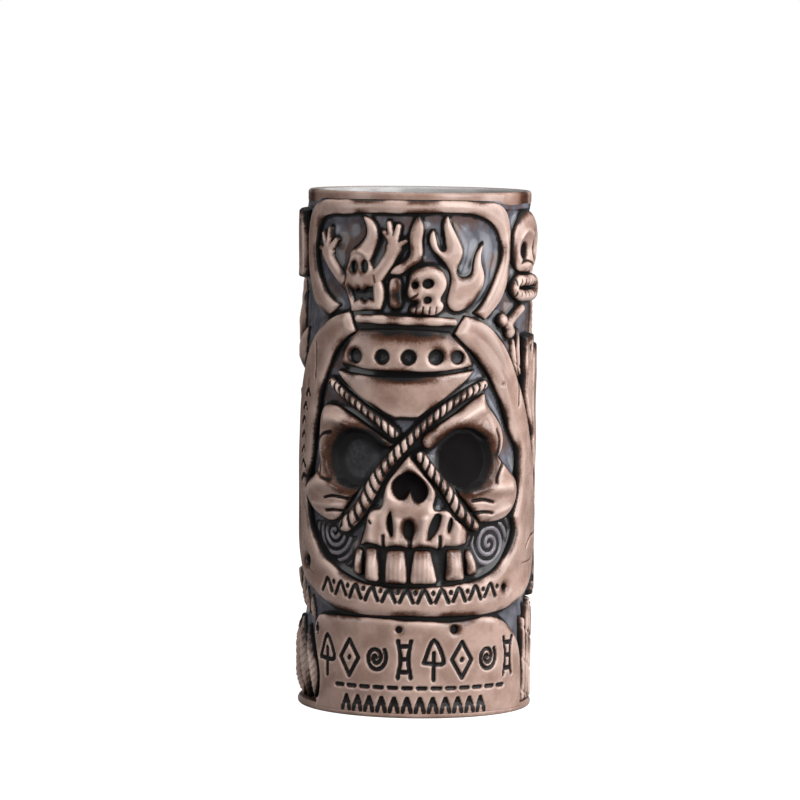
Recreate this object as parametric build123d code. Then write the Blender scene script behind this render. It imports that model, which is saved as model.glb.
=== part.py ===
from build123d import *
import os
from math import cos, hypot, pi, sin, tan

# A tall ceramic drinking mug covered in carved-looking relief.
# The cup is a plain tube with a floor. Every ornament is a clay piece laid on the outside of the tube.
# An ornament is drawn flat, as (u, z) in millimetres: u runs round the mug from the middle of its
# front towards +X, at the radius DRAW_R, and z is the height above the table.
# The origin is the centre of the underside, +Z is up, and the front of the mug faces -Y.

# ---------------------------------------------------------------- driving dimensions
HEIGHT = 178.0
BORE_R = 33.5
WALL_R = 37.5
FLOOR_T = 6.0
LIP_R = 38.4
LIP_LOW = 172.4
FOOT_R = 40.3
FOOT_H = 2.4
FOOT_CHAMFER = 0.8
DRAW_R = 40.0

# Outer radius of each depth of relief, all of it seated on WALL_R
FAINT_R = 38.4
LOW_R = 39.6
FLAT_R = 40.3
BOLD_R = 41.0
PROUD_R = 41.5

# Room between two boards
GAP = 0.9

# A drawing is bent in strips about BAND wide, and its edges are followed every SAMPLE
BAND = 50.0
SAMPLE = 3.0
SHALLOWEST = 20.0
DEEPEST = 60.0

# Radius of a tooth's corners
TOOTH_ROUND = 1.1

# Marks a sharp corner in an outline
CORNER = True

# Back boards
BOARD_FIRST = 68.0
BOARD_PITCH = 13.8
BOARD_LOW = 38.0
BOARD_TOPS = (88.0, 85.5, 87.5, 84.5, 88.5, 86.0, 88.0, 85.0)
BACK_U = DRAW_R * pi - 2.0

parts = {}


# ---------------------------------------------------------------- flat drawing
def outline(points):
    """A closed flat face through points. A third value marks a corner; the rest runs smoothly."""
    corners = [i for i, point in enumerate(points) if len(point) > 2]
    if not corners:
        return make_face(Spline(*points, periodic=True))
    turned = points[corners[0]:] + points[:corners[0] + 1]
    edges = []
    run = [turned[0]]
    for point in turned[1:]:
        run.append(point)
        if len(point) > 2:
            flat_run = [(p[0], p[1]) for p in run]
            edges.append(Line(*flat_run) if len(flat_run) == 2 else Spline(*flat_run))
            run = [point]
    return make_face(edges)


def ribbon(path, halves, blunt=True):
    """A band that follows path, with a half width at each of its points and round or sharp ends."""
    left = []
    right = []
    for i, (u, z) in enumerate(path):
        before = path[max(i - 1, 0)]
        after = path[min(i + 1, len(path) - 1)]
        du = after[0] - before[0]
        dz = after[1] - before[1]
        length = hypot(du, dz)
        left.append((u - dz / length * halves[i], z + du / length * halves[i]))
        right.append((u + dz / length * halves[i], z - du / length * halves[i]))
    if not blunt:
        start = [(path[0][0], path[0][1], CORNER)]
        end = [(path[-1][0], path[-1][1], CORNER)]
        return outline(start + right[1:-1] + end + left[1:-1][::-1])
    face = outline(
        [left[0] + (CORNER,), right[0] + (CORNER,)] + right[1:-1]
        + [right[-1] + (CORNER,), left[-1] + (CORNER,)] + left[1:-1][::-1]
    )
    return face + disc(*path[0], halves[0]) + disc(*path[-1], halves[-1])


def rounded(corners, radius):
    """A flat polygon with rounded corners."""
    return fillet(Polygon(*corners, align=None).vertices(), radius)


def disc(u, z, radius):
    """A round flat face."""
    return Pos(u, z) * Circle(radius)


def oval(u, z, half_u, half_z):
    """An upright oval flat face."""
    return Pos(u, z) * Ellipse(half_u, half_z)


def bone(start, end, half, knob):
    """A dog bone from start to end with two knobs at each end."""
    length = hypot(end[0] - start[0], end[1] - start[1])
    across_u = -(end[1] - start[1]) / length * knob * 0.8
    across_z = (end[0] - start[0]) / length * knob * 0.8
    middle = ((start[0] + end[0]) / 2, (start[1] + end[1]) / 2)
    face = ribbon([start, middle, end], [half * 1.15, half, half * 1.15])
    for u, z in (start, end):
        face = face + disc(u + across_u, z + across_z, knob) + disc(u - across_u, z - across_z, knob)
    return face


# ---------------------------------------------------------------- bending round the cup
def cutter(wire, middle):
    """The solid swept by a flat wire's radial lines, through every depth of relief."""
    angle = middle / DRAW_R
    facing = Plane(origin=(0, 0, 0), x_dir=(cos(angle), sin(angle), 0), z_dir=(sin(angle), -cos(angle), 0))
    rims = ([], [])
    for edge in wire.edges():
        pieces = 3 if edge.is_closed else 1
        count = int(edge.length / pieces / SAMPLE) + 5
        for first in range(pieces):
            shares = [k / (count - 1) for k in range(count)]
            places = [edge @ ((first + share) / pieces) for share in shares]
            for rim, depth in zip(rims, (SHALLOWEST, DEEPEST)):
                bent = [Vector(depth * tan((p.X - middle) / DRAW_R), p.Y, depth) for p in places]
                bent = [facing.from_local_coords(point) for point in bent]
                rim.append(Edge.make_spline(bent, parameters=shares))
    walls = [Face.make_surface_from_curves(inner, outer) for inner, outer in zip(*rims)]
    return Solid(Shell(walls + [Face(Wire(rim)) for rim in rims]))


def bend(flat, outer_r, inner_r=WALL_R):
    """Lay a flat drawing round the cup, between two radii, as one or more solids."""
    low = flat.bounding_box().min
    high = flat.bounding_box().max
    ring = Cylinder(outer_r, 2 * HEIGHT) - Cylinder(inner_r, 2 * HEIGHT)
    count = max(1, round((high.X - low.X) / BAND))
    width = (high.X - low.X) / count
    whole = None
    for k in range(count):
        middle = low.X + (k + 0.5) * width
        strip = flat
        if count > 1:
            strip = flat & (Pos(middle, HEIGHT / 2) * Rectangle(width, 2 * HEIGHT))
        for face in strip.faces():
            piece = ring & cutter(face.outer_wire(), middle)
            for hole in face.inner_wires():
                piece = piece - cutter(hole, middle)
            whole = piece if whole is None else whole + piece
    return whole


def add(name, flat, outer_r):
    """Bend a flat drawing into the node called name."""
    parts[name] = bend(flat, outer_r)


# ---------------------------------------------------------------- cup
parts["cup_wall"] = Pos(0, 0, FLOOR_T) * Cylinder(
    WALL_R, HEIGHT - FLOOR_T, align=(Align.CENTER, Align.CENTER, Align.MIN)
) - Pos(0, 0, FLOOR_T) * Cylinder(BORE_R, HEIGHT, align=(Align.CENTER, Align.CENTER, Align.MIN))
parts["cup_floor"] = Cylinder(WALL_R, FLOOR_T, align=(Align.CENTER, Align.CENTER, Align.MIN))
foot = Cylinder(FOOT_R, FOOT_H, align=(Align.CENTER, Align.CENTER, Align.MIN))
foot = chamfer(foot.edges().group_by(Axis.Z)[0], FOOT_CHAMFER)
parts["foot_band"] = foot - Cylinder(WALL_R, 3 * FOOT_H)

# ---------------------------------------------------------------- crown above the skull
FRAME_OUTER = [
    (-30.5, 136, CORNER), (-35.3, 137.3), (-39.9, 140.3), (-43.5, 146), (-45.9, 153), (-46.2, 161),
    (-44, 169.5), (-39, 173.6), (-30, 175), (0, 175.3), (29, 174.9), (36, 173.3), (39.2, 169),
    (40.1, 160), (39.4, 150.5), (37, 144), (33, 139), (28.5, 135.3, CORNER),
]
FRAME_INNER = [
    (24, 137.5, CORNER), (28, 141.5), (31, 145.6), (34.3, 151.5), (36, 159), (33.5, 165.8), (27, 169.8),
    (5, 171.2), (-14, 171), (-28, 170.2), (-34, 169.2), (-38, 165.2), (-39.5, 158), (-38, 151.5),
    (-32.3, 142.9), (-26, 139.5, CORNER),
]
frame_flat = outline(FRAME_OUTER + FRAME_INNER)
add("crown_frame", frame_flat, FLAT_R)

ghoul_body = outline([
    (-20.3, 137.7, CORNER), (-9.3, 138.6, CORNER), (-8.2, 142), (-8.9, 147.5), (-11.5, 151.5), (-13.7, 155),
    (-15, 158.5), (-19.5, 158.5), (-22, 153), (-24, 150), (-22.3, 143.5),
])
ghoul = ghoul_body + ribbon(
    [(-16.9, 155.5), (-13.9, 159.8), (-12.3, 163.8), (-13.5, 167.4), (-15.4, 169.4)], [3.3, 2.7, 2.1, 1.4, 0.5]
)
ghoul = ghoul + ribbon([(-11.5, 149), (-7.4, 154), (-5.2, 158.2)], [2.5, 2.1, 2.6])
ghoul = ghoul + ribbon([(-23, 147.6), (-28, 151.5), (-32, 156)], [2.4, 2.0, 2.4])
RIGHT_FINGERS = [(-8.1, 164.6), (-6.5, 167.6), (-3.1, 166.6), (-0.6, 161.6)]
LEFT_FINGERS = [(-36.4, 158.6), (-34.6, 163.4), (-31, 165.2), (-27.4, 161.6)]
for palm, tips in (((-4.8, 159.2), RIGHT_FINGERS), ((-32.2, 157), LEFT_FINGERS)):
    ghoul = ghoul + disc(*palm, 3.0)
    for tip in tips:
        knuckle = ((palm[0] + tip[0]) / 2, (palm[1] + tip[1]) / 2)
        ghoul = ghoul + ribbon([palm, knuckle, tip], [1.1, 1.0, 0.8])
ghoul = ghoul - oval(-19.2, 152.7, 1.3, 2.0) - oval(-15.2, 153, 1.4, 2.1)
ghoul = ghoul - outline([
    (-21, 145.8, CORNER), (-18.6, 144.6, CORNER), (-17.2, 145.6, CORNER), (-15.8, 144.4, CORNER),
    (-14.2, 145.9, CORNER), (-12, 146.2, CORNER), (-11.6, 141.2, CORNER), (-13.4, 142.2, CORNER),
    (-15, 140.8, CORNER), (-16.8, 142, CORNER), (-19.2, 140.6, CORNER),
])
add("flame_ghoul", ghoul, FLAT_R)

add("flame_stub", ribbon([(-3.9, 147.3), (-4.1, 143.9), (-3.8, 140.9)], [2.1, 2.2, 2.3]), LOW_R)
add("flame_centre", outline([
    (3.8, 170.3, CORNER), (1.9, 167.6), (0.8, 164), (0.8, 160.2), (0.9, 157.2), (-1.4, 154.7),
    (-4.6, 152.6), (-5.9, 150.9, CORNER), (-2.8, 150.6), (-0.4, 151.6), (1.8, 153.3), (4.4, 154.8),
    (5.3, 158), (5.0, 162), (5.6, 166.4),
]), LOW_R)
flame_right = outline([
    (16.5, 138.2), (19.5, 138.6), (22.7, 140.6), (25.6, 143.6), (27.6, 147), (28, 150.6), (26.6, 154.6),
    (26.6, 157.5), (27.9, 161.4, CORNER), (25.6, 158.6), (24, 154.6), (22.9, 150.6), (19.6, 149.6),
    (17.6, 151), (18.2, 154.3), (19.6, 157.6), (17.8, 162.8), (15.6, 166.6), (14, 170.4, CORNER),
    (12.6, 165.5), (13.6, 160.6), (13, 157.9), (11.4, 158.9), (10.1, 161.8), (9, 165.6, CORNER), (7.9, 161.4),
    (10.2, 157.4), (14.3, 152.6), (15.3, 148.5), (14.3, 142), (14.9, 139.2),
])
add("flame_right", flame_right, FLAT_R)

small_skull = outline([
    (5.5, 153.1), (9.5, 153.3), (12.6, 151.3), (13.6, 147), (12.4, 144.2), (11.5, 142.2), (12.6, 140),
    (11.4, 138), (8.2, 136.9), (5, 137.2), (2, 137.4), (1.0, 138.7), (3.2, 139.9), (3.9, 141.2),
    (1.4, 142.0), (0.2, 144), (0.9, 147.5), (1.2, 150.2), (3, 152.2),
])
small_skull = small_skull - disc(2.9, 147, 1.1) - oval(7.4, 147.5, 1.9, 1.6) - oval(7.3, 142.0, 1.3, 1.2)
add("small_skull", small_skull, BOLD_R)
add("crown_bar", ribbon([(-17.6, 135.2), (0, 134.9), (16.4, 134.5)], [1.3, 1.5, 1.3]), FLAT_R)

# ---------------------------------------------------------------- hood round the skull
HOOD_OUTER = [
    (-21, 137.3, CORNER), (-28, 135.4), (-34, 132.2), (-41.5, 125.5), (-48, 116), (-52.6, 105.5),
    (-55.3, 90), (-56, 76), (-54.6, 62), (-51.5, 52.5), (-46, 45.4), (-36, 40.5), (-25, 36.3), (0, 34.9),
    (30, 35), (46, 38), (58, 44.4), (64, 55), (65.2, 66), (62.4, 79), (57.5, 90), (50, 106), (43, 118),
    (36, 127.5), (28, 134), (20.5, 136.5, CORNER),
]
HOOD_INNER = [
    (16.5, 130.5, CORNER), (24, 123.5), (30.5, 116), (36.3, 107), (41.5, 96.5), (46.3, 89),
    (46.3, 83.5), (47, 77), (44.6, 69.5), (43.2, 67.4, CORNER), (44.6, 63.5), (42, 57.5), (36, 51.0),
    (27, 47.0), (16, 45), (0, 44.2), (-12, 45.0), (-22.9, 48.5), (-30.5, 52.2), (-38.7, 60), (-43.6, 69),
    (-46.2, 76, CORNER), (-42.6, 82), (-39.8, 92), (-37.4, 102), (-33.6, 113), (-28.5, 122),
    (-18.5, 130.8, CORNER),
]
hood_flat = outline(HOOD_OUTER + HOOD_INNER)
hood_flat = hood_flat - disc(-42, 51, 1.6) - disc(38.3, 43.7, 1.1)
add("hood_band", hood_flat, BOLD_R)

cap_plate = outline([
    (-24.5, 120, CORNER), (-10, 118), (0, 117.8), (10, 118), (23.5, 119.7, CORNER), (21.5, 124),
    (18.0, 127.6), (15.2, 131.2, CORNER), (0, 131.9), (-17.0, 131.4, CORNER), (-20.6, 127.8), (-22.8, 124.4),
])
for u, radius in ((-18.3, 2.4), (-8.3, 2.6), (1, 2.7), (10.3, 2.7), (18, 2.3)):
    cap_plate = cap_plate - disc(u, 122.6, radius)
add("cap_plate", cap_plate, FLAT_R)
add("forehead_plate", outline([
    (-26, 117.2, CORNER), (-10, 115.8), (0, 115.7), (10, 116.3), (24.4, 118.3, CORNER), (18.4, 112.6),
    (9, 105.7), (4.4, 102.4, CORNER), (-3.6, 102.3, CORNER), (-9, 104.8), (-18, 109.9),
]), FLAT_R)

# ---------------------------------------------------------------- large skull
add("skull_left", outline([
    (-32, 105), (-25, 104.7), (-15, 100), (-8, 95.6), (-4.2, 93.0, CORNER), (-5.4, 91.6),
    (-8.1, 90.3, CORNER), (-10.2, 93.4), (-14.5, 96.1), (-20, 95.6), (-24.6, 92), (-26.1, 87),
    (-24, 82.3), (-19.5, 79.3), (-14.8, 79.7, CORNER), (-18.8, 74.6), (-24.8, 67.5, CORNER), (-28.6, 66),
    (-34, 66.9), (-41, 70.3), (-45.1, 74.5, CORNER), (-42, 79), (-37, 82.2), (-34.4, 87), (-35.3, 94),
    (-34.6, 100.5),
]), PROUD_R)
add("skull_right", outline([
    (5.8, 93.9), (9.8, 98.6), (18.2, 104.2), (24, 108), (28.5, 110.2, CORNER), (30.6, 105.2), (35, 100.3),
    (37.2, 94.6), (34.9, 88.4, CORNER), (39.6, 84.4), (44, 80.4), (45.2, 75), (42.6, 69.9), (35, 66.7),
    (27.2, 66.5, CORNER), (22.6, 72), (18.6, 76.8), (15.8, 79.9, CORNER), (20.5, 79.2), (25.6, 81.4),
    (28.5, 87), (26.6, 93), (21.5, 96.5), (15, 96.2), (10.6, 93.2), (7.4, 91.9),
]), PROUD_R)

jaw = outline([
    (1.5, 89.4, CORNER), (4.5, 85.8), (8.2, 80.9), (10.8, 76.6), (9.9, 73), (10.6, 70.6), (14.5, 70.6),
    (18, 67.2), (21.6, 65), (22.2, 62), (21.8, 59.4, CORNER), (18, 58.6), (14.2, 58.9, CORNER),
    (12.4, 57.2, CORNER), (10.4, 58.1), (6.4, 58.4), (2.2, 57.7, CORNER), (-2.4, 58.7), (-7, 57.9, CORNER),
    (-11.4, 59.2), (-15.6, 58.4, CORNER), (-14.4, 62), (-13.2, 66), (-11, 70.4), (-8.2, 71.2),
    (-6.9, 75), (-5.9, 79.2), (-2.6, 84.4),
])
jaw = jaw - outline([
    (1.4, 84), (-1.2, 83), (-4.2, 80), (-3.9, 76.4), (-1.5, 74.2), (0.9, 75.3, CORNER), (2.2, 77.6, CORNER),
    (3.2, 75), (5.2, 73.4), (7.8, 75.6), (7.6, 79.4), (4, 83),
])
jaw = jaw - ribbon([(-4.6, 70), (-4.9, 66.5), (-4.2, 62.4)], [0.3, 1.1, 0.5])
jaw = jaw - oval(1.7, 64.3, 1.7, 3.2)
jaw = jaw - ribbon([(11.6, 68.6), (10.4, 65), (8.9, 61.4)], [1.4, 1.7, 0.6])
jaw = jaw - ribbon([(16.3, 68), (16.0, 66), (15.6, 63.6)], [0.5, 0.8, 0.4])
add("nose_and_jaw", jaw, PROUD_R)

TEETH = (
    [(-17.9, 48.6), (-14.7, 48.2), (-14.9, 57.4), (-17.4, 57.2)],
    [(-13.8, 46.3), (-8.7, 46.4), (-9.5, 57.7), (-13.7, 57.5)],
    [(-6.2, 45.8), (1.3, 45.7), (0.4, 57.2), (-6.0, 57.0)],
    [(2.4, 45.7), (11.6, 46.1), (9.3, 57.3), (3.6, 57.2)],
    [(14.5, 46.8), (21.3, 47.0), (20.3, 57.5), (15.0, 57.4)],
    [(22.3, 48.4), (26.8, 48.9), (23.9, 57.2), (21.7, 57.3)],
)
for number, corners in enumerate(TEETH, start=1):
    add(f"tooth_{number}", rounded(corners, TOOTH_ROUND), BOLD_R)

# Two ropes cross on the bridge of the nose. The one that runs down to the left lies over the other.
add("rope_over", ribbon(
    [(28.3, 113.3), (17.2, 107.8), (8.4, 101.3), (-0.3, 92.6), (-7.7, 84.2), (-14.2, 73.1), (-21.4, 65)],
    [1.4, 1.5, 1.5, 1.7, 2.1, 2.4, 2.4],
), PROUD_R)
rope_under = ribbon([(-28.6, 113.2), (-19.5, 107.5), (-10.1, 101.5), (-3.6, 96.8)], [1.4, 1.4, 1.5, 1.5])
rope_under = rope_under + ribbon(
    [(5.6, 89.0), (9.1, 84), (13.2, 79.5), (18.2, 72.4), (24.9, 65.4)], [1.8, 1.9, 1.9, 1.9, 1.9]
)
add("rope_under", rope_under, PROUD_R)

add("swirl_left", outline([
    (-39.6, 64.6, CORNER), (-36.6, 60.2), (-29.6, 54), (-20.4, 50.2, CORNER), (-19.3, 53.5),
    (-19.4, 58.4), (-18.2, 60.6, CORNER), (-25.6, 61.6, CORNER), (-27.4, 64.3, CORNER), (-33, 64.9),
]), FAINT_R)
add("swirl_right", outline([
    (29, 65.0, CORNER), (35, 65.3), (41.4, 67.6, CORNER), (43, 65), (42.4, 60.6), (37.8, 55),
    (32.6, 51.4), (28.4, 50.2, CORNER), (26.6, 54.2), (23.6, 58.6, CORNER), (25.4, 61.6, CORNER),
]), FAINT_R)

# ---------------------------------------------------------------- foot of the front
plaque = outline([
    (-35.5, 2.8, CORNER), (-34, 8), (-34, 14), (-36.5, 22), (-37.4, 28), (-34.5, 33, CORNER), (-20, 33.9),
    (0, 33.2), (10, 32.8), (20, 33), (30, 33.9), (37, 32.8), (43.4, 28.8), (48, 23.5), (50.4, 16),
    (51, 2.8, CORNER),
])
plaque = plaque - disc(-1.3, 30.2, 1.1) - disc(18, 30.2, 1.4)
add("plaque", plaque, FLAT_R)

blades = None
for path, halves in (
    ([(-38, 4.4), (-38.6, 12), (-41.5, 21), (-43.6, 28.5)], [0.6, 2.0, 1.8, 0.1]),
    ([(-43.2, 3.6), (-44.6, 12), (-48.6, 22), (-50.6, 31)], [0.8, 2.6, 2.3, 0.1]),
    ([(-50.4, 3.6), (-52.6, 13), (-56.6, 22), (-58.8, 30.4)], [0.8, 3.0, 2.6, 0.1]),
    ([(-58.6, 3.8), (-61.4, 12), (-65.6, 20), (-68.6, 27)], [0.8, 3.0, 2.4, 0.1]),
):
    blade = ribbon(path, halves, blunt=False)
    blades = blade if blades is None else blades + blade
add("leaf_blades", blades, PROUD_R)
buds = ribbon([(-39, 30.2), (-41.4, 34), (-42.2, 38.9)], [0.5, 1.7, 0.1], blunt=False)
buds = buds + ribbon([(-45.2, 32.4), (-47.6, 36.2), (-48.2, 41.2)], [0.5, 1.8, 0.1], blunt=False)
buds = buds + ribbon([(-52.4, 34.4), (-54.4, 39.2), (-54.6, 46)], [0.5, 2.0, 0.1], blunt=False)
add("leaf_buds", buds, LOW_R)
reeds = None
for u, top in ((52.8, 31.0), (56.4, 35.5), (60.2, 37.5), (64.2, 35.5)):
    reed = ribbon([(u, 4.2), (u + 0.6, top / 2), (u - 0.2, top)], [1.2, 1.35, 0.7])
    reeds = reed if reeds is None else reeds + reed
add("reeds_low", reeds, FLAT_R)

# ---------------------------------------------------------------- right side
side_skull = outline([
    (41.6, 158), (43.4, 166), (48, 170.4), (54, 171.4), (60.5, 168.5), (64.4, 161.5), (62.8, 154.6),
    (57.4, 151.4), (50, 150.8), (44, 152.2),
])
side_skull = side_skull - oval(49.6, 158.2, 3.4, 3.0) - oval(58.4, 158.6, 2.4, 3.0)
add("side_skull", side_skull, PROUD_R)
side_jaw = outline([
    (40.6, 146.6), (44, 149.4), (52, 149.7), (60.5, 149.3), (64, 146), (61.4, 142), (52, 140.9),
    (44, 141.6),
])
side_jaw = side_jaw - ribbon([(44.6, 145.6), (52, 145.3), (60, 145.4)], [0.4, 0.7, 0.4])
add("side_jaw", side_jaw, PROUD_R)
side_bone = ribbon([(39, 133), (43, 136), (47.4, 138.4)], [1.8, 1.9, 1.5])
side_bone = side_bone + disc(36.2, 134.8, 2.3) + disc(40.4, 130.9, 2.3)
add("side_bone", side_bone, BOLD_R)
side_reeds = ribbon([(42.9, 127.4), (44, 122), (46, 115.6)], [0.9, 1.1, 0.5])
side_reeds = side_reeds + ribbon([(46.2, 130.8), (46.6, 123), (47.9, 116)], [0.9, 1.0, 0.5])
add("side_reeds", side_reeds, LOW_R)

# ---------------------------------------------------------------- left side
add("side_board", outline([
    (-58.8, 147.4, CORNER), (-48.4, 148.4, CORNER), (-47.8, 158), (-48.8, 170.6, CORNER),
    (-58.2, 171.2, CORNER), (-59.3, 160),
]), PROUD_R)
TRUNK_U = -65.6
TRUNK_JOINTS = 8
trunk_step = 9.0
trunk_right = []
for k in range(TRUNK_JOINTS):
    z = BOARD_LOW + k * trunk_step
    trunk_right.append((TRUNK_U + 4.0, z, CORNER))
    trunk_right.append((TRUNK_U + 5.1, z + trunk_step * 0.55))
trunk_top = BOARD_LOW + TRUNK_JOINTS * trunk_step
trunk_right.append((TRUNK_U + 3.6, trunk_top, CORNER))
trunk_left = [(2 * TRUNK_U - p[0],) + tuple(p[1:]) for p in trunk_right[::-1]]
add("palm_trunk", outline(trunk_right + trunk_left), BOLD_R)
fronds = None
for tip in ((-49.6, 130.6), (-55.6, 142.6), (-66, 154), (-77, 152), (-84, 138.6)):
    root = (TRUNK_U + (tip[0] - TRUNK_U) * 0.17, 112.6 + (tip[1] - 112.6) * 0.12)
    bow = (TRUNK_U + (tip[0] - TRUNK_U) * 0.66, 112.6 + (tip[1] - 112.6) * 0.64)
    frond = ribbon([root, bow, tip], [0.6, 2.7, 0.1], blunt=False)
    fronds = frond if fronds is None else fronds + frond
add("palm_fronds", fronds, BOLD_R)

# ---------------------------------------------------------------- boards
add("board_1", outline([
    (49.8, 128.6, CORNER), (57, 129.4, CORNER), (57, 94, CORNER), (53.8, 101), (51, 107),
    (49.4, 110.4, CORNER),
]), BOLD_R)
add("board_2", outline([
    (57.9, 124.6, CORNER), (67.1, 125.8, CORNER), (67.1, 40, CORNER), (57.4, 40.6, CORNER), (62.6, 45.2),
    (65.9, 55), (66.4, 67), (63.4, 80), (59.6, 88.6), (57.9, 91.8, CORNER),
]), BOLD_R)
for number, top in enumerate(BOARD_TOPS, start=3):
    u = BOARD_FIRST + (number - 3) * BOARD_PITCH
    right = u + BOARD_PITCH - GAP
    add(f"board_{number}", outline([
        (u, BOARD_LOW, CORNER), (right, BOARD_LOW + 0.6, CORNER), (right, top + 0.8, CORNER),
        (u + 0.6 * BOARD_PITCH, top - 0.9), (u, top, CORNER),
    ]), BOLD_R)

# ---------------------------------------------------------------- back
board_end = BOARD_FIRST + BOARD_PITCH * len(BOARD_TOPS)
band_points = 9
band_path = [
    (70.4 + (board_end - 73.4) * k / (band_points - 1), 93.2 + 0.5 * cos(k * pi)) for k in range(band_points)
]
add("rope_band", ribbon(band_path, [2.0] * band_points), FLAT_R)

back_skull = outline([
    (BACK_U - 15.5, 145), (BACK_U - 12.5, 156), (BACK_U - 5, 161.6), (BACK_U + 5, 161.6),
    (BACK_U + 12.5, 156), (BACK_U + 15.5, 145), (BACK_U + 12.8, 136), (BACK_U + 9, 130.6),
    (BACK_U + 6.5, 126.4, CORNER), (BACK_U - 6.5, 126.4, CORNER), (BACK_U - 9, 130.6),
    (BACK_U - 12.8, 136),
])
for side in (-1, 1):
    back_skull = back_skull - oval(BACK_U + side * 6.6, 142.4, 4.3, 4.6)
back_skull = back_skull - outline([
    (BACK_U, 137.4, CORNER), (BACK_U + 2.6, 131.6, CORNER), (BACK_U, 132.6, CORNER),
    (BACK_U - 2.6, 131.6, CORNER),
])
add("back_skull", back_skull, PROUD_R)
add("back_jaw", outline([
    (BACK_U - 8.6, 125.2, CORNER), (BACK_U + 8.6, 125.2, CORNER), (BACK_U + 7.4, 120), (BACK_U, 117.6),
    (BACK_U - 7.4, 120),
]), BOLD_R)
CROSS_Z = 106.6
bone_rise = 7.0
bone_reach = 19.0
cross_gap = 4.4
add("back_bone_over", bone(
    (BACK_U - bone_reach, CROSS_Z - bone_rise), (BACK_U + bone_reach, CROSS_Z + bone_rise), 1.9, 2.3
), BOLD_R)
under_bone = bone(
    (BACK_U - bone_reach, CROSS_Z + bone_rise), (BACK_U + bone_reach, CROSS_Z - bone_rise), 1.9, 2.3
)
channel = Pos(BACK_U, CROSS_Z) * Rot(0, 0, 20.2) * Rectangle(4 * cross_gap, 1.25 * cross_gap)
add("back_bone_under", under_bone - channel, BOLD_R)

flames = None
for side in (-1, 1):
    tall = [(18, 120), (20.6, 130), (18.6, 141), (22, 152), (20.8, 166.5)]
    short = [(25, 118.5), (27.2, 126), (26, 134), (29, 142), (28.6, 151)]
    for path, halves in ((tall, [1.0, 2.6, 2.8, 2.0, 0.1]), (short, [1.0, 2.2, 2.4, 1.6, 0.1])):
        placed = [(BACK_U + side * du, z) for du, z in path]
        flame = ribbon(placed, halves, blunt=False)
        flames = flame if flames is None else flames + flame
add("back_flames", flames, FLAT_R)

leaves = None
for u, lean, top in ((73, 2, 164), (82, -2, 169), (90.5, 1, 118), (160.4, 1, 160)):
    leaf = ribbon([(u, 98.6), (u + lean, (98 + top) / 2), (u - lean, top)], [0.6, 3.2, 0.1], blunt=False)
    leaves = leaf if leaves is None else leaves + leaf
add("back_leaves", leaves, FLAT_R)

low_leaves = None
for k in range(12):
    u = 70.5 + 9.6 * k
    top = 34.5 - 5.0 * (k % 2)
    leaf = ribbon([(u, 4.0), (u + 1.6, top * 0.5), (u - 0.6, top)], [0.8, 3.1, 0.1], blunt=False)
    low_leaves = leaf if low_leaves is None else low_leaves + leaf
add("low_leaves", low_leaves, FLAT_R)

# ---------------------------------------------------------------- lip
# The lip's lower edge is cut back where the crown frame rises into it.
lip = Pos(0, 0, LIP_LOW) * Cylinder(LIP_R, HEIGHT - LIP_LOW, align=(Align.CENTER, Align.CENTER, Align.MIN))
lip = lip - Pos(0, 0, LIP_LOW) * Cylinder(WALL_R, HEIGHT, align=(Align.CENTER, Align.CENTER, Align.MIN))
lip_notch = outline([
    (-42.2, 171.6, CORNER), (-39, 174.3), (-30, 175.7), (0, 176), (29, 175.6), (36.6, 173.9),
    (38.8, 171.6, CORNER),
])
half_notch = 42.5
for side in (-1, 1):
    middle = side * half_notch / 2
    strip = lip_notch & (Pos(middle, HEIGHT) * Rectangle(half_notch, HEIGHT - LIP_LOW + 20))
    for face in strip.faces():
        lip = lip - cutter(face.outer_wire(), middle)
parts["lip_band"] = lip

# ---------------------------------------------------------------- write the nodes
os.makedirs("parts", exist_ok=True)
for name, shape in parts.items():
    export_step(shape, f"parts/{name}.step")
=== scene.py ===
"""Glazed tiki mug: carved relief pieces laid round a slip-cast cup.

Every relief piece takes its outline from the frame's node of the same name. The outline is read off
the node's outer skin, unrolled to (u, z) millimetres: u runs round the cup from the middle of its
front towards +X, measured at DRAW_R, and z is the height. A piece's surface is then one function of
(u, z), carved by ridges, grooves and pits that are placed from the middle of its node.
"""

import bpy
import numpy as np
from math import atan2, cos, pi, radians, sin
from mathutils import Euler, Matrix, Vector


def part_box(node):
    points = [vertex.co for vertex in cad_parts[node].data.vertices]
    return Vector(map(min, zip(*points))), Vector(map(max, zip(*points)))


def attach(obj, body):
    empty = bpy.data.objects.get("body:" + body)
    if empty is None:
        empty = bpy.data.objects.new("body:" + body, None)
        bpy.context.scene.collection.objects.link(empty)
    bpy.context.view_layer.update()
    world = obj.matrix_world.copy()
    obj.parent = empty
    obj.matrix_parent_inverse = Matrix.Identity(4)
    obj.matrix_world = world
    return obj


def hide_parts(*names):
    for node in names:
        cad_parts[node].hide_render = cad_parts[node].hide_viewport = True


bl_info = {
    "name": "Glazed Tiki Mug",
    "version": (1, 0, 0),
    "blender": (4, 5, 0),
    "location": "3D View > Sidebar > Tiki Mug",
    "description": "Builds a slip-cast tiki mug with stained relief round its frame",
    "category": "Add Mesh",
}

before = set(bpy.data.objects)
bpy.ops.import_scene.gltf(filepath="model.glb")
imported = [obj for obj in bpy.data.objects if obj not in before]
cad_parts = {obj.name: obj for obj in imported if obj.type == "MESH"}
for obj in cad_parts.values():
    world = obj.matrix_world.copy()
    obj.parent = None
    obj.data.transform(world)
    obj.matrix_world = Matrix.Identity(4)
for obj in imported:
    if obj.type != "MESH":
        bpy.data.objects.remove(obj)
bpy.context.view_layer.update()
BODY = "root"

# Sizes are in mm until a mesh is built
MM = 0.001


def reach_of(node):
    """The lowest and highest corner of a node's box."""
    return (np.array([float(x) for x in corner]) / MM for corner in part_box(node))


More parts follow.
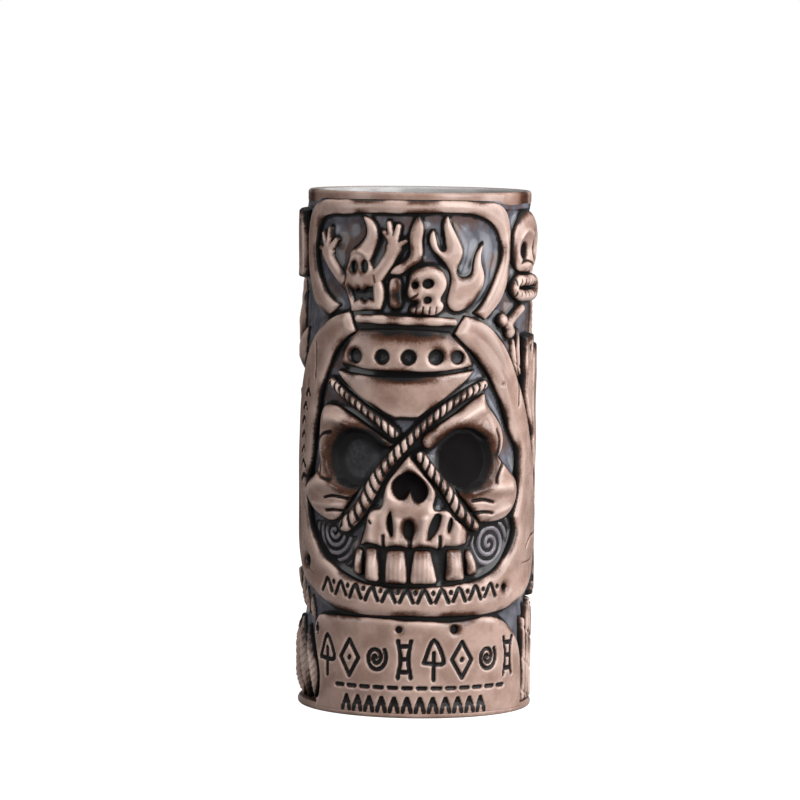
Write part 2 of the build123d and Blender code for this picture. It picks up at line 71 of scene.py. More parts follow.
CUP_LOW, CUP_HIGH = reach_of("cup_wall")
LIP_LOW, LIP_HIGH = reach_of("lip_band")
FOOT_HIGH = list(reach_of("foot_band"))[1]
GROUND_R = CUP_HIGH[0]
HEIGHT = CUP_HIGH[2]
FLOOR_Z = CUP_LOW[2]
BORE_R = 33.5

# The radius at which the length round the cup is measured, and that length
DRAW_R = 40.0
AROUND = 2 * pi * DRAW_R

# The grid that all relief shares
COLUMNS = 628
STEP_U = AROUND / COLUMNS
STEP_Z = 0.4
ROWS = int(HEIGHT / STEP_Z) + 2

# How far a piece's edge spreads past its node's outline, and how high slip fills between pieces
GROW = 0.3
FILL = 1.25

# Distances are worked out for this many points at a time, to bound the memory
BATCH = 6000


# ------------------------------------------------------------------ plane geometry, whole arrays
def segment_distance(u, z, start, end):
    """Distance from each point to the nearest of a set of segments: the point is dropped onto each
    segment's line, held between its ends, and the shortest of the lengths is kept."""
    shape = u.shape
    points = np.stack([u.ravel(), z.ravel()], 1)
    best = np.full(len(points), np.inf)
    span = end - start
    size = np.maximum((span ** 2).sum(1), 1e-12)
    for first in range(0, len(points), BATCH):
        part = points[first:first + BATCH, None, :] - start[None]
        share = np.clip((part * span[None]).sum(2) / size, 0, 1)
        gap = part - share[..., None] * span[None]
        best[first:first + BATCH] = np.sqrt((gap ** 2).sum(2)).min(1)
    return best.reshape(shape)


def inside_outline(u, z, start, end):
    """True where a level line to the right crosses the outline's segments an odd number of times."""
    shape = u.shape
    points = np.stack([u.ravel(), z.ravel()], 1)
    found = np.zeros(len(points), bool)
    rise = end[:, 1] - start[:, 1]
    rise = np.where(np.abs(rise) < 1e-12, 1e-12, rise)
    for first in range(0, len(points), BATCH):
        pu = points[first:first + BATCH, 0, None]
        pz = points[first:first + BATCH, 1, None]
        crosses = (start[None, :, 1] > pz) != (end[None, :, 1] > pz)
        at = start[None, :, 0] + (pz - start[None, :, 1]) * (end - start)[None, :, 0] / rise[None]
        found[first:first + BATCH] = (crosses & (pu < at)).sum(1) % 2 == 1
    return found.reshape(shape)


def smooth_line(points, steps=8):
    """A smooth open line through hand-placed points: each span is a cubic whose end slopes are half
    the chord between the points either side (Catmull-Rom)."""
    p = np.array(points, float)
    if len(p) < 3:
        return p
    p = np.vstack([2 * p[0] - p[1], p, 2 * p[-1] - p[-2]])
    t = np.linspace(0, 1, steps, endpoint=False)[:, None]
    spans = [
        0.5 * (2 * b + (c - a) * t + (2 * a - 5 * b + 4 * c - d) * t ** 2 + (3 * b - a - 3 * c + d) * t ** 3)
        for a, b, c, d in zip(p[:-3], p[1:-2], p[2:-1], p[3:])
    ]
    return np.vstack(spans + [p[-2][None]])


def along(points, u, z):
    """For each (u, z): the length run along a line to its nearest point, the signed distance off it,
    positive to the left of the way it runs, and the line's whole length."""
    line = smooth_line(points)
    start, end = line[:-1], line[1:]
    span = end - start
    length = np.hypot(span[:, 0], span[:, 1])
    run = np.concatenate([[0], np.cumsum(length)[:-1]])
    du = u[..., None] - start[:, 0]
    dz = z[..., None] - start[:, 1]
    share = np.clip((du * span[:, 0] + dz * span[:, 1]) / length ** 2, 0, 1)
    gap = np.hypot(du - share * span[:, 0], dz - share * span[:, 1])
    near = gap.argmin(-1)[..., None]
    side = np.sign(span[:, 0] * dz - span[:, 1] * du)
    travelled, off, hand = (
        np.take_along_axis(field, near, -1)[..., 0] for field in (run + share * length, gap, side)
    )
    return travelled, off * hand, length.sum()


def fade(x):
    """0 below 0, 1 above 1, and a smooth S between them."""
    x = np.clip(x, 0, 1)
    return x * x * (3 - 2 * x)


def shoulder(depth, reach):
    """A quarter-round edge: 0 on the outline, 1 from reach inwards."""
    return np.sqrt(1 - (1 - np.clip(depth / reach, 0, 1)) ** 2)


def wander(u, z, size, seed):
    """Uneven hand-made surface, about -1 to 1: the sum of nine sine waves of random direction, whose
    lengths lie about size. Whole waves fit round the cup, so it closes."""
    chance = np.random.default_rng(seed)
    total = np.zeros_like(u)
    for _ in range(9):
        angle = chance.uniform(0, 2 * pi)
        length = size * chance.uniform(0.7, 1.6)
        waves = round(AROUND / length * cos(angle))
        phase = waves * u / AROUND + z * sin(angle) / length
        total += np.sin(2 * pi * phase + chance.uniform(0, 2 * pi))
    return total / 3.6


# ------------------------------------------------------------------ relief pieces
class Patch:
    """One relief node, unrolled: its outline, its box in (u, z), and its own part of the grid. The
    outline is every edge that only one triangle of the node's outer skin uses. soot is black stain
    and burnt is brown, both from 0 to 1."""

    def __init__(self, node):
        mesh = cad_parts[node].data
        mesh.calc_loop_triangles()
        place = np.empty(len(mesh.vertices) * 3)
        mesh.vertices.foreach_get("co", place)
        place = place.reshape(-1, 3) / MM
        corner = np.empty(len(mesh.loop_triangles) * 3, np.int64)
        mesh.loop_triangles.foreach_get("vertices", corner)
        corner = corner.reshape(-1, 3)
        radius = np.hypot(place[:, 0], place[:, 1])
        turn = np.arctan2(place[:, 0], -place[:, 1])
        middle = atan2(np.sin(turn).mean(), np.cos(turn).mean())
        flat = np.stack([DRAW_R * (middle + (turn - middle + pi) % (2 * pi) - pi), place[:, 2]], 1)
        self.top = radius.max()
        skin = corner[(radius[corner] > self.top - 0.05).all(1)]
        keys, which = np.unique(np.round(flat * 100).astype(np.int64), axis=0, return_inverse=True)
        which = which.reshape(-1)
        edges = np.sort(which[np.concatenate([skin[:, [0, 1]], skin[:, [1, 2]], skin[:, [2, 0]]])], 1)
        edges = edges[edges[:, 0] != edges[:, 1]]
        pairs, count = np.unique(edges, axis=0, return_counts=True)
        rim = pairs[count == 1]
        self.start = keys[rim[:, 0]] / 100.0
        self.end = keys[rim[:, 1]] / 100.0
        self.low = flat.min(0)
        self.high = flat.max(0)
        self.mid = (self.low + self.high) / 2
        self.size = self.high - self.low
        left = int(np.floor(self.low[0] / STEP_U)) - 2
        right = int(np.ceil(self.high[0] / STEP_U)) + 3
        bottom = max(int(self.low[1] / STEP_Z) - 2, 0)
        top = int(np.ceil(self.high[1] / STEP_Z)) + 3
        column = np.arange(left, right)
        row = np.arange(bottom, top)
        self.column, self.row = np.meshgrid(column, row)
        self.place = self.row.clip(0, ROWS - 1), self.column % COLUMNS
        self.u = self.column * STEP_U
        self.z = self.row * STEP_Z
        distance = segment_distance(self.u, self.z, self.start, self.end)
        inside = inside_outline(self.u, self.z, self.start, self.end)
        self.edge = np.where(inside, -distance, distance) - GROW
        self.pull_to_outline()
        self.soot = np.zeros(self.u.shape)
        self.burnt = np.zeros(self.u.shape)

    def pull_to_outline(self):
        """Keep the cells whose middle is inside the outline, and slide the outermost kept points
        along the distance's slope until they lie on the outline."""
        e = self.edge
        self.kept = (e[:-1, :-1] + e[1:, :-1] + e[:-1, 1:] + e[1:, 1:]) < 0
        touched = np.zeros(e.shape, int)
        lower = slice(0, -1)
        upper = slice(1, None)
        for corner in ((lower, lower), (upper, lower), (lower, upper), (upper, upper)):
            touched[corner] += self.kept
        self.used = touched > 0
        self.border = self.used & (touched < 4)
        self.slope_z, self.slope_u = np.gradient(e, STEP_Z, STEP_U)
        steep = np.maximum(np.hypot(self.slope_u, self.slope_z), 0.3)
        self.slope_u /= steep
        self.slope_z /= steep
        furthest = 0.9 * STEP_Z
        move = np.where(self.border, np.clip(e, -furthest, furthest), 0)
        self.u = self.u - move * self.slope_u
        self.z = self.z - move * self.slope_z
        self.depth = np.where(self.border, 0, np.maximum(-e, 0))

    def ridge(self, points, half, high):
        """A smooth raised line, or a sunk one where high is negative, through points given in mm from
        the middle of the piece. It is a rounded S across and dies away at both ends."""
        run, off, length = along(np.array(points) + self.mid, self.u, self.z)
        taper = fade(np.minimum(run, length - run) / max(half, 0.12 * length) + 0.15)
        profile = taper * fade(1 - np.abs(off) / half)
        if high < 0:
            self.blacken(min(1.0, -1.3 * high) * profile)
        return high * profile

    def blacken(self, share):
        """Let black stain settle, by a share from 0 to 1 at each point."""
        self.soot = np.maximum(self.soot, share)

    def bump(self, du, dz, half_u, half_z, high):
        """A smooth round swelling, or a pit where high is negative, at (du, dz) from the middle."""
        across = np.hypot((self.u - self.mid[0] - du) / half_u, (self.z - self.mid[1] - dz) / half_z)
        return high * fade(1 - across)

    def pit(self, du, dz, half_u, half_z, deep, wall=0.25):
        """A steep-sided recess with a flat bottom."""
        across = np.hypot((self.u - self.mid[0] - du) / half_u, (self.z - self.mid[1] - dz) / half_z)
        self.blacken(fade((1.1 - across) / wall))
        return -deep * fade((1 - across) / wall)

    def carve(self, strokes, half, deep):
        """Engraved strokes of even width. Each stroke is a line through points from the middle."""
        lines = [smooth_line(np.array(stroke) + self.mid, 4) for stroke in strokes]
        start = np.vstack([line[:-1] for line in lines])
        end = np.vstack([line[1:] for line in lines])
        profile = fade((half - segment_distance(self.u, self.z, start, end)) / (0.6 * half) + 0.3)
        self.blacken(profile)
        return -deep * profile

    def level(self, share):
        """The radius at a share of the way from the cup's wall to the node's outer face."""
        return GROUND_R + (self.top - GROUND_R) * share


def plain(p, edge=0.5, reach=1.6):
    """A flat-topped piece with a quarter-round edge."""
    return p.level(edge + (1 - edge) * shoulder(p.depth, reach)) + 0.05 * wander(p.u, p.z, 9, 3)


def crown_frame(p):
    """A rounded band, highest along its middle."""
    return plain(p, 0.42, 3.0) + 0.1 * wander(p.u, p.z, 14, 5)


def flame_ghoul(p):
    """Rounded body and arms, creased where the arms leave it, with a brow over the eyes."""
    shape = plain(p, 0.4, 1.9)
    shape += p.bump(0.6, -5, 7, 10, 0.5)
    shape += p.ridge([(-3.4, 3.0), (1.0, 4.4), (5.0, 2.6)], 1.4, 0.45)
    shape += p.ridge([(-5.0, -7.8), (-3.9, -4.2), (-5.6, -1.6)], 0.8, -0.45)
    shape += p.ridge([(7.6, -6.8), (6.8, -3.4)], 0.7, -0.4)
    return shape


def flame(p):
    """A tongue of flame that rises to a soft spine along its middle."""
    return p.level(0.4 + 0.6 * shoulder(p.depth, 2.6)) + 0.06 * wander(p.u, p.z, 6, 9)


def small_skull(p):
    """A domed cranium over a narrow toothed jaw."""
    shape = plain(p, 0.42, 2.4) + p.bump(0, 3.6, 7.5, 6.5, 0.5)
    shape += p.ridge([(-5.6, -3.0), (-2.6, -1.0)], 0.7, -0.4)
    for k in range(4):
        shape += p.ridge([(-3.8 + 2.3 * k, -8.2), (-3.4 + 2.2 * k, -5.2)], 0.45, -0.6)
    return shape


def crown_bar(p):
    """A round bar."""
    return p.level(0.3 + 0.7 * shoulder(p.depth, 1.5))


def hood_band(p):
    """A broad rounded band with grain slits that follow it, two worm holes and two rows of carved
    marks: a zigzag with dots along the bottom and chevrons up the left side."""
    shape = p.level(0.45 + 0.55 * shoulder(p.depth, 3.4)) + 0.12 * wander(p.u, p.z, 16, 11)
    shape -= 0.35 * fade((p.depth - 3.4) / 5.0)
    for points, half, deep in (
        ([(-40.8, 41.2), (-41.0, 34.5), (-41.6, 27.0)], 0.7, 0.9),
        ([(-46.5, 28.5), (-48.5, 20.0), (-50.0, 11.0)], 0.5, 0.5),
        ([(39.8, 31.2), (40.4, 25.4), (40.0, 18.6)], 0.8, 1.0),
        ([(36.4, 35.6), (42.6, 26.6), (46.8, 18.0)], 0.4, 0.4),
        ([(46.6, -30.2), (52.4, -26.6), (59.2, -25.2)], 0.7, 0.9),
        ([(43.4, -35.0), (51.0, -34.6), (57.0, -32.6)], 0.45, 0.5),
        ([(50.2, 3.0), (53.8, -8.0), (55.4, -19.0)], 0.4, 0.4),
        ([(-55.6, -4.0), (-55.8, -14.0), (-53.6, -25.0)], 0.45, 0.45),
        ([(-48.0, -34.4), (-44.6, -37.4), (-40.4, -39.4)], 0.4, 0.4),
    ):
        shape += p.ridge(points, half, -deep)
    shape += p.bump(31.2, 27.2, 1.3, 1.3, -0.6)
    marks = []
    for k in range(11):
        u = -33.4 + 6.0 * k
        sag = -44.3 + 2.4 * (u / 33.0) ** 2
        marks.append([(u - 2.2, sag - 2.1), (u, sag + 2.1), (u + 2.2, sag - 2.1)])
        marks.append([(u + 3.0, sag + 0.9), (u + 3.0, sag + 1.3)])
    for k in range(7):
        z = -7.6 + 4.9 * k
        u = -51.6 + 0.02 * (z - 7) ** 2 * (1 if z > 7 else 0.3)
        marks.append([(u - 1.9, z), (u, z + 1.9), (u + 1.9, z)])
    return shape + p.carve(marks, 0.75, 0.7)


def cap_plate(p):
    """A shallow domed plate. Its round recesses have soft worn edges."""
    return plain(p, 0.5, 1.8) + p.bump(0, 0, 26, 9, 0.35)


def forehead_plate(p):
    """A smooth brow plate that swells towards its middle."""
    return plain(p, 0.5, 1.7) + p.bump(0, 2, 24, 11, 0.4)


def eye_funnel(p, du, dz, half_u, half_z):
    """The surface falls away in a curve towards an eye socket centred at (du, dz)."""
    across = np.hypot((p.u - p.mid[0] - du) / half_u, (p.z - p.mid[1] - dz) / half_z)
    p.blacken(fade((1.28 - across) / 0.26))
    p.burnt = np.maximum(p.burnt, fade((1.9 - across) / 0.7))
    return -2.0 * fade((1.5 - across) / 0.5) ** 1.5


def skull_left(p):
    """Brow, temple and cheek round the left socket, creased like weathered bone."""
    shape = p.level(0.3 + 0.66 * shoulder(p.depth, 5.0)) + 0.14 * wander(p.u, p.z, 9, 21)
    shape += eye_funnel(p, 8.1, 1.9, 9.6, 8.6)
    shape += p.ridge([(-7.4, 14.6), (0, 14.8), (9.8, 10.9), (18.0, 6.2)], 3.6, 1.5)
    shape += p.ridge([(-17.0, -10.8), (-8.0, -7.4), (4.8, -8.4)], 3.8, 1.5)
    shape += p.ridge([(-13.5, -14.6), (-4.0, -14.4), (3.6, -14.2)], 1.5, 0.5)
    shape += p.ridge([(-10.2, 7.4), (-6.8, 9.7), (-2.2, 10.6)], 0.9, -1.0)
    shape += p.ridge([(-7.0, -12.3), (-1.4, -11.2), (5.2, -12.0)], 0.8, -1.3)
    shape += p.ridge([(-6.0, -16.6), (-1.2, -16.0), (3.4, -16.6)], 0.9, -1.3)
    shape += p.ridge([(-11.0, -3.4), (-6.4, -5.4), (-1.6, -6.0)], 0.9, -0.5)
    shape += p.ridge([(-8.6, 0.8), (-8.2, -4.8)], 0.9, -0.5)
    shape += p.bump(-8.0, 4.0, 3.6, 5.0, 0.7)
    return shape


def skull_right(p):
    """Brow, temple and cheek round the right socket."""
    shape = p.level(0.3 + 0.66 * shoulder(p.depth, 5.0)) + 0.14 * wander(p.u, p.z, 9, 23)
    shape += eye_funnel(p, -4.9, -0.6, 8.8, 8.8)
    shape += p.ridge([(-17.2, 7.8), (-9.4, 12.0), (-0.6, 16.6), (3.0, 18.6)], 3.6, 1.5)
    shape += p.ridge([(-5.2, -10.6), (7.0, -10.4), (16.6, -10.0)], 3.8, 1.5)
    shape += p.ridge([(3.4, -19.6), (9.6, -18.4), (15.4, -16.4)], 1.6, 0.4)
    shape += p.ridge([(-9.6, 9.4), (-2.6, 9.6), (3.6, 5.8)], 0.9, -0.9)
    shape += p.ridge([(7.0, -9.0), (8.6, -5.0), (11.2, -1.8)], 1.0, -1.4)
    shape += p.ridge([(-2.6, -14.4), (2.0, -14.0), (7.0, -15.2)], 0.9, -1.4)
    shape += p.ridge([(-1.6, -18.8), (2.4, -18.2), (6.6, -18.8)], 0.9, -1.3)
    shape += p.ridge([(6.8, 10.6), (8.8, 5.2), (7.6, -0.4)], 1.3, -0.5)
    shape += p.bump(5.2, 9.0, 4.6, 7.0, 0.8)
    return shape


def nose_and_jaw(p):
    """A nose bone that peaks at its tip, rims round the cavity, and a root over each tooth."""
    shape = p.level(0.38 + 0.62 * shoulder(p.depth, 2.5)) + 0.08 * wander(p.u, p.z, 7, 27)
    shape += p.ridge([(-1.8, 15.4), (-1.9, 10.6)], 3.0, 1.1)
    shape += p.ridge([(-2.2, 11.6), (-8.2, 6.0), (-8.4, 0.6)], 1.7, 0.6)
    shape += p.ridge([(-1.4, 11.6), (5.4, 6.2), (5.6, 0.8)], 1.7, 0.6)
    shape -= 0.7 * fade((-4 - (p.z - p.mid[1])) / 6)
    for u, top in ((-14.8, -6), (-6.0, -6.5), (3.0, -5.5), (14.6, -6)):
        shape += p.ridge([(u, -15.4), (u + 0.2, -10.5), (u + 0.8, top + 2)], 2.3, 1.0)
    for u in (-10.4, -1.2, 9.0):
        shape += p.ridge([(u, -16.6), (u + 0.1, -13.4), (u, -10.4)], 1.1, -0.9)
    shape += p.ridge([(-15.2, -5.8), (-14.0, -7.6)], 0.7, -0.8)
    shape += p.ridge([(-9.2, 2.6), (-9.6, -0.4), (-12.2, -4.0)], 1.2, 0.3)
    return shape


def tooth(p):
    """A full rounded crown with fine upright ribs, which leans back and darkens towards the gum."""
    ribs = 0.06 * np.cos((p.u - p.mid[0]) * 2 * pi / 1.5)
    gum = fade((p.z - p.mid[1]) / (0.62 * p.size[1]) + 0.1)
    p.burnt = np.maximum(p.burnt, 0.7 * gum)
    crown = p.level(0.36 + 0.64 * shoulder(p.depth, 2.6)) + ribs - 0.7 * gum
    return crown + p.bump(0, -0.1 * p.size[1], 0.5 * p.size[0], 0.5 * p.size[1], 0.7)


def twisted(p, points, half, pitch, lean=0.9):
    """A laid rope. Across it the strands are a half-round, and along it each strand is a rounded lobe
    that starts later the further it lies across, so the lobes slant."""
    run, off, _ = along(np.array(points) + p.mid, p.u, p.z)
    across = np.clip(off / half(run), -1, 1)
    lobe = np.abs(np.sin(pi * (run / pitch(run) + lean * across / 2)))
    rounded = np.sqrt(np.maximum(1 - 0.9 * across ** 2, 0))
    p.blacken(fade((0.62 - lobe) / 0.42))
    return GROUND_R + (p.top - GROUND_R) * (0.34 + 0.66 * rounded * (0.58 + 0.42 * lobe ** 0.7))


def rope_over(p):
    """The rope that runs unbroken from the upper right to the lower left, thicker at the bottom."""
    route = [
        (24.8, 24.4), (13.7, 18.9), (4.9, 12.4), (-3.8, 3.7), (-11.2, -4.7), (-17.7, -15.8), (-24.9, -23.9),
    ]
    return twisted(p, route, lambda s: 1.45 + 0.013 * s, lambda s: 2.45 + 0.009 * s, -0.9)


def rope_under(p):
    """The rope that passes beneath, in two lengths either side of the crossing."""
    route = [
        (-26.8, 24.0), (-17.7, 18.3), (-8.3, 12.3), (-1.8, 7.6), (7.4, -0.2), (10.9, -5.2), (15.0, -9.7),
        (20.0, -16.8), (26.7, -23.8),
    ]
    return twisted(p, route, lambda s: 1.4 + 0.009 * s, lambda s: 2.5 + 0.008 * s, 0.9) - 0.1


def rope_band(p):
    """A laid rope round the back, level, with a little sway."""
    reach = p.size[0] / 2 - 1.5
    route = [(reach * k / 4, 0.45 * (-1) ** k) for k in range(-4, 5)]
    return twisted(p, route, lambda s: 2.05 + 0 * s, lambda s: 3.2 + 0 * s, 0.9)


def swirl(p, du, dz, pitch, hand):
    """Thin raised lines that wind out of a centre: the line's phase is the distance from the centre
    over the pitch, less the angle round it as a share of a turn."""
    ru = p.u - p.mid[0] - du
    rz = p.z - p.mid[1] - dz
    phase = np.hypot(ru, rz) / pitch - hand * np.arctan2(rz, ru) / (2 * pi)
    line = fade((np.cos(2 * pi * phase) + 0.3) / 0.9)
    p.blacken(0.4 * fade(1 - 2.2 * line))
    return p.level(0.35 + 0.2 * shoulder(p.depth, 1.0)) + 0.6 * line * fade(p.depth / 0.8)


def plaque(p):
    """A flat panel with a rolled edge, three nail holes, and carved marks in two rows either side of
    a line of dashes: spearheads, lozenges, coils and bars above, and small teeth below. Its lowest
    few millimetres keep their full height and slide down to meet the foot."""
    shape = plain(p, 0.5, 2.2) + 0.08 * wander(p.u, p.z, 20, 31)
    shape += p.pit(-41.6, 10.0, 0.9, 2.3, 0.9)
    marks = []
    for k in range(8):
        u = -36.0 + 10.0 * k
        if k % 4 == 0:
            marks += [[(u - 3.4, 0.6), (u, 8.4), (u + 3.4, 0.6), (u - 3.4, 0.6)], [(u, -5.2), (u, 4.0)]]
        if k % 4 == 1:
            marks += [
                [(u - 3.6, 1.6), (u, 7.6)], [(u, 7.6), (u + 3.6, 1.6)], [(u + 3.6, 1.6), (u, -4.6)],
                [(u, -4.6), (u - 3.6, 1.6)], [(u - 0.1, 1.4), (u + 0.1, 1.8)],
            ]
        if k % 4 == 2:
            turn = np.linspace(0.4, 4.2 * pi, 34)
            marks += [[(u + 0.29 * t * cos(t), 2.0 + 0.36 * t * sin(t)) for t in turn]]
        if k % 4 == 3:
            for side in (-1, 1):
                marks += [[(u + 2.2 * side, -4.6), (u + 1.3 * side, 1.8), (u + 2.2 * side, 8.0)]]
            marks += [[(u - 0.9, h), (u + 0.9, h)] for h in (-2.6, 1.8, 6.2)]
    for k in range(13):
        u = -30.0 + 5.0 * k
        marks += [[(u - 1.3, -8.0), (u + 1.3, -8.0)]]
    for k in range(12):
        u = -27.0 + 4.4 * k
        marks += [[(u - 1.4, -15.2), (u, -11.6)], [(u, -11.6), (u + 1.4, -15.2)]]
    shape += p.carve(marks, 0.8, 0.85)
    rim = 2.6
    inboard = fade((p.size[0] / 2 - np.abs(p.u - p.mid[0])) / rim)
    base = inboard * fade((rim - p.z + p.low[1]) / rim)
    p.depth = np.where((p.z - p.low[1] < rim) & (inboard > 0.9), 3.0, p.depth)
    p.z = p.z - 0.9 * base ** 2
    return np.where(inboard > 0.9, shape + (p.top - shape) * fade(2.0 * base), shape)


def leaf(p):
    """A blade that rises to a spine, scored with slanting veins."""
    veins = 0.12 * np.cos(2 * pi * (p.z + 1.2 * np.minimum(p.depth, 3)) / 2.4)
    return p.level(0.3 + 0.62 * np.clip(p.depth / 2.9, 0, 1) ** 0.75) + veins * fade(p.depth / 0.8)


def reed(p):
    """A round stem with a joint every few centimetres."""
    joints = 0.35 * np.exp(-(((p.z + 0.4 * p.u) % 11.0 - 5.5) / 0.5) ** 2)
    return p.level(0.3 + 0.7 * shoulder(p.depth, 1.4)) - joints


def side_skull(p):
    """A cranium seen from its side: a full dome, sockets and a cheek crease."""
    shape = p.level(0.3 + 0.7 * shoulder(p.depth, 7.5))
    shape += p.ridge([(-9.6, 0.6), (-4.0, 4.0), (2.6, 2.2), (8.6, 2.4)], 1.6, 0.4)
    shape += p.ridge([(-8.0, -7.4), (-2.6, -6.4), (4.0, -8.0)], 0.8, -0.6)
    return shape + 0.1 * wander(p.u, p.z, 7, 37)


def side_jaw(p):
    """A jaw with a row of teeth above and below the parted bite."""
    shape = plain(p, 0.35, 2.6)
    for k in range(8):
        u = -9.6 + 2.7 * k
        shape += p.ridge([(u, 3.2), (u - 0.1, 0.8)], 0.5, -0.8)
        shape += p.ridge([(u, -0.9), (u - 0.1, -2.9)], 0.5, -0.7)
    return shape


def bone(p):
    """A round shaft and round knobs."""
    return p.level(0.34 + 0.66 * shoulder(p.depth, 2.3)) + 0.06 * wander(p.u, p.z, 5, 41)


def board(p):
    """A sawn board: square edges worn round, wavering grain, checks from its ends and nail heads."""
    seed = int(p.mid[0]) % 17
    shape = p.level(0.5 + 0.5 * shoulder(p.depth, 1.1)) + 0.14 * wander(p.u, p.z, 24, 43 + seed)
    du = p.u - p.mid[0]
    sway = 0.9 * np.sin(p.z / 9.0 + seed) + 0.5 * np.sin(p.z / 3.7 + 2 * seed)
    grain = np.abs(((du + sway) / 2.3) % 1 - 0.5) * 2
    shape -= 0.34 * fade((0.24 - grain) / 0.2) * fade(p.depth / 0.8) * (0.6 + 0.4 * np.sin(p.z / 6 + seed))
    half = p.size[1] / 2
    shape += p.ridge([(0.16 * p.size[0], half - 0.5), (0.1 * p.size[0], half - 9)], 0.6, -0.9)
    shape += p.ridge([(-0.2 * p.size[0], 0.5 - half), (-0.16 * p.size[0], 8 - half)], 0.6, -0.9)
    for end in (half - 4.6, 4.6 - half):
        shape += p.pit(0.02 * p.size[0], end, 1.35, 1.35, 0.55, 0.3)
        shape += p.bump(0.02 * p.size[0], end, 0.9, 0.9, 0.4)
    return shape


def side_board(p):
    """A broken upright board with long grain."""
    return board(p) - 0.3 * fade(0.5 - 0.5 * np.sin(p.u * 1.9 + 0.7 * np.sin(p.z / 5)))


def palm_trunk(p):
    """Old leaf bases climb the trunk: each ring swells towards its top and is cut under sharply."""
    step = p.size[1] / 8
    ring = ((p.z - p.low[1]) / step) % 1
    swell = ring ** 0.7 * fade((1 - ring) / 0.16)
    fibres = 0.07 * np.cos(2 * pi * p.u / 1.3)
    return p.level(0.35 + 0.2 * shoulder(p.depth, 3.5) + 0.45 * swell * shoulder(p.depth, 3.0)) + fibres


def frond(p):
    """A fan of pointed leaflets, each with its own spine."""
    return p.level(0.28 + 0.72 * np.clip(p.depth / 2.8, 0, 1) ** 0.8) + 0.08 * wander(p.u, p.z, 3, 47)


def back_skull(p):
    """A full dome with a brow, cheek hollows and a cracked crown."""
    shape = p.level(0.3 + 0.7 * shoulder(p.depth, 6.5)) + 0.1 * wander(p.u, p.z, 9, 51)
    for side in (-1, 1):
        shape += p.ridge([(side * 11.4, 3.0), (side * 6.6, 5.0), (side * 1.6, 2.0)], 1.7, 0.5)
        shape += p.ridge([(side * 10.0, -8.0), (side * 6.4, -10.4)], 1.1, -0.8)
    shape += p.ridge([(3.0, 16.4), (4.4, 12.6), (2.6, 10.4), (4.0, 7.6)], 0.5, -0.8)
    for k in range(5):
        shape += p.ridge([(-4.4 + 2.2 * k, -17.8), (-4.4 + 2.2 * k, -14.6)], 0.5, -0.9)
    return shape


def back_jaw(p):
    """A short jaw with upright tooth gaps."""
    shape = plain(p, 0.4, 2.4)
    for k in range(6):
        shape += p.ridge([(-5.5 + 2.2 * k, 3.6), (-5.3 + 2.1 * k, 0.4)], 0.5, -0.8)
    return shape


SHAPES = {
    "crown_frame": crown_frame, "flame_ghoul": flame_ghoul, "flame_stub": flame, "flame_centre": flame,
    "flame_right": flame, "small_skull": small_skull, "crown_bar": crown_bar, "hood_band": hood_band,
    "cap_plate": cap_plate, "forehead_plate": forehead_plate, "skull_left": skull_left,
    "skull_right": skull_right, "nose_and_jaw": nose_and_jaw, "rope_over": rope_over,
    "rope_under": rope_under, "rope_band": rope_band, "plaque": plaque,
    "swirl_left": lambda p: swirl(p, 0.6, 4.6, 2.7, 1),
    "swirl_right": lambda p: swirl(p, -1.0, 0.0, 3.0, -1),
    "leaf_blades": leaf, "leaf_buds": leaf, "back_leaves": leaf, "low_leaves": leaf, "back_flames": flame,
    "reeds_low": reed, "side_reeds": reed, "side_skull": side_skull, "side_jaw": side_jaw,
    "side_bone": bone, "back_bone_over": bone, "back_bone_under": bone, "side_board": side_board,
    "palm_trunk": palm_trunk, "palm_fronds": frond, "back_skull": back_skull, "back_jaw": back_jaw,
}
SHAPES.update({f"tooth_{k}": tooth for k in range(1, 7)})
SHAPES.update({f"board_{k}": board for k in range(1, 11)})


# ------------------------------------------------------------------ the whole relief, and its stain
def soften(field, size):
    """Blur by a bell curve of that size in mm, closed round the cup and held at its top and bottom."""
    for axis, step in ((1, STEP_U), (0, STEP_Z)):
        reach = int(3 * size / step)
        weight = np.exp(-0.5 * (np.arange(-reach, reach + 1) * step / size) ** 2)
        weight /= weight.sum()
        if axis == 0:
            padded = np.pad(field, ((reach, reach), (0, 0)), mode="edge")
            field = sum(w * padded[k:k + ROWS] for k, w in enumerate(weight))
        else:
            field = sum(w * np.roll(field, k - reach, 1) for k, w in enumerate(weight))
    return field


def lay_relief():
    """Work out every piece's radius on the one grid. From it come the stain, which stays where the
    surface lies below its blurred self and is wiped off where it stands above, the ground's own
    radius, where slip and glaze fill in towards the foot of every piece, and where a piece covers
    the ground."""
    z = np.arange(ROWS) * STEP_Z
    bands = np.where(z <= FOOT_HIGH[2], FOOT_HIGH[0], np.where(z >= LIP_LOW[2], LIP_HIGH[0], GROUND_R))
    height = np.repeat(bands[:, None], COLUMNS, 1)
    patches = {}
    for node, shape in SHAPES.items():
        p = Patch(node)
        p.radius = shape(p)
        patches[node] = p
        here = p.row[p.used], p.column[p.used] % COLUMNS
        height[here] = np.maximum(height[here], p.radius[p.used])
    fine = soften(height, 0.7) - height
    broad = soften(height, 2.2) - height
    stain = 0.9 * fade(fine / 0.65) + 0.4 * fade((broad - 0.5) / 1.5)
    # Painted highlight: crests that stand above their blurred surroundings are marked here, so that their
    # clay is lightened.
    crest_highlight = fade(-fine / 0.3) * 0.6 + fade(-broad / 1.1) * 0.5
    piled = soften(height, 1.5) - GROUND_R
    ground = GROUND_R + FILL * (1 - np.exp(-1.3 * piled / FILL))
    covered = height > bands[:, None] + 0.3
    return patches, ground, covered, np.clip(stain, 0, 1), np.clip(crest_highlight, 0, 1)


PATCHES, GROUND, COVERED, STAIN, CREST_HIGHLIGHT = lay_relief()


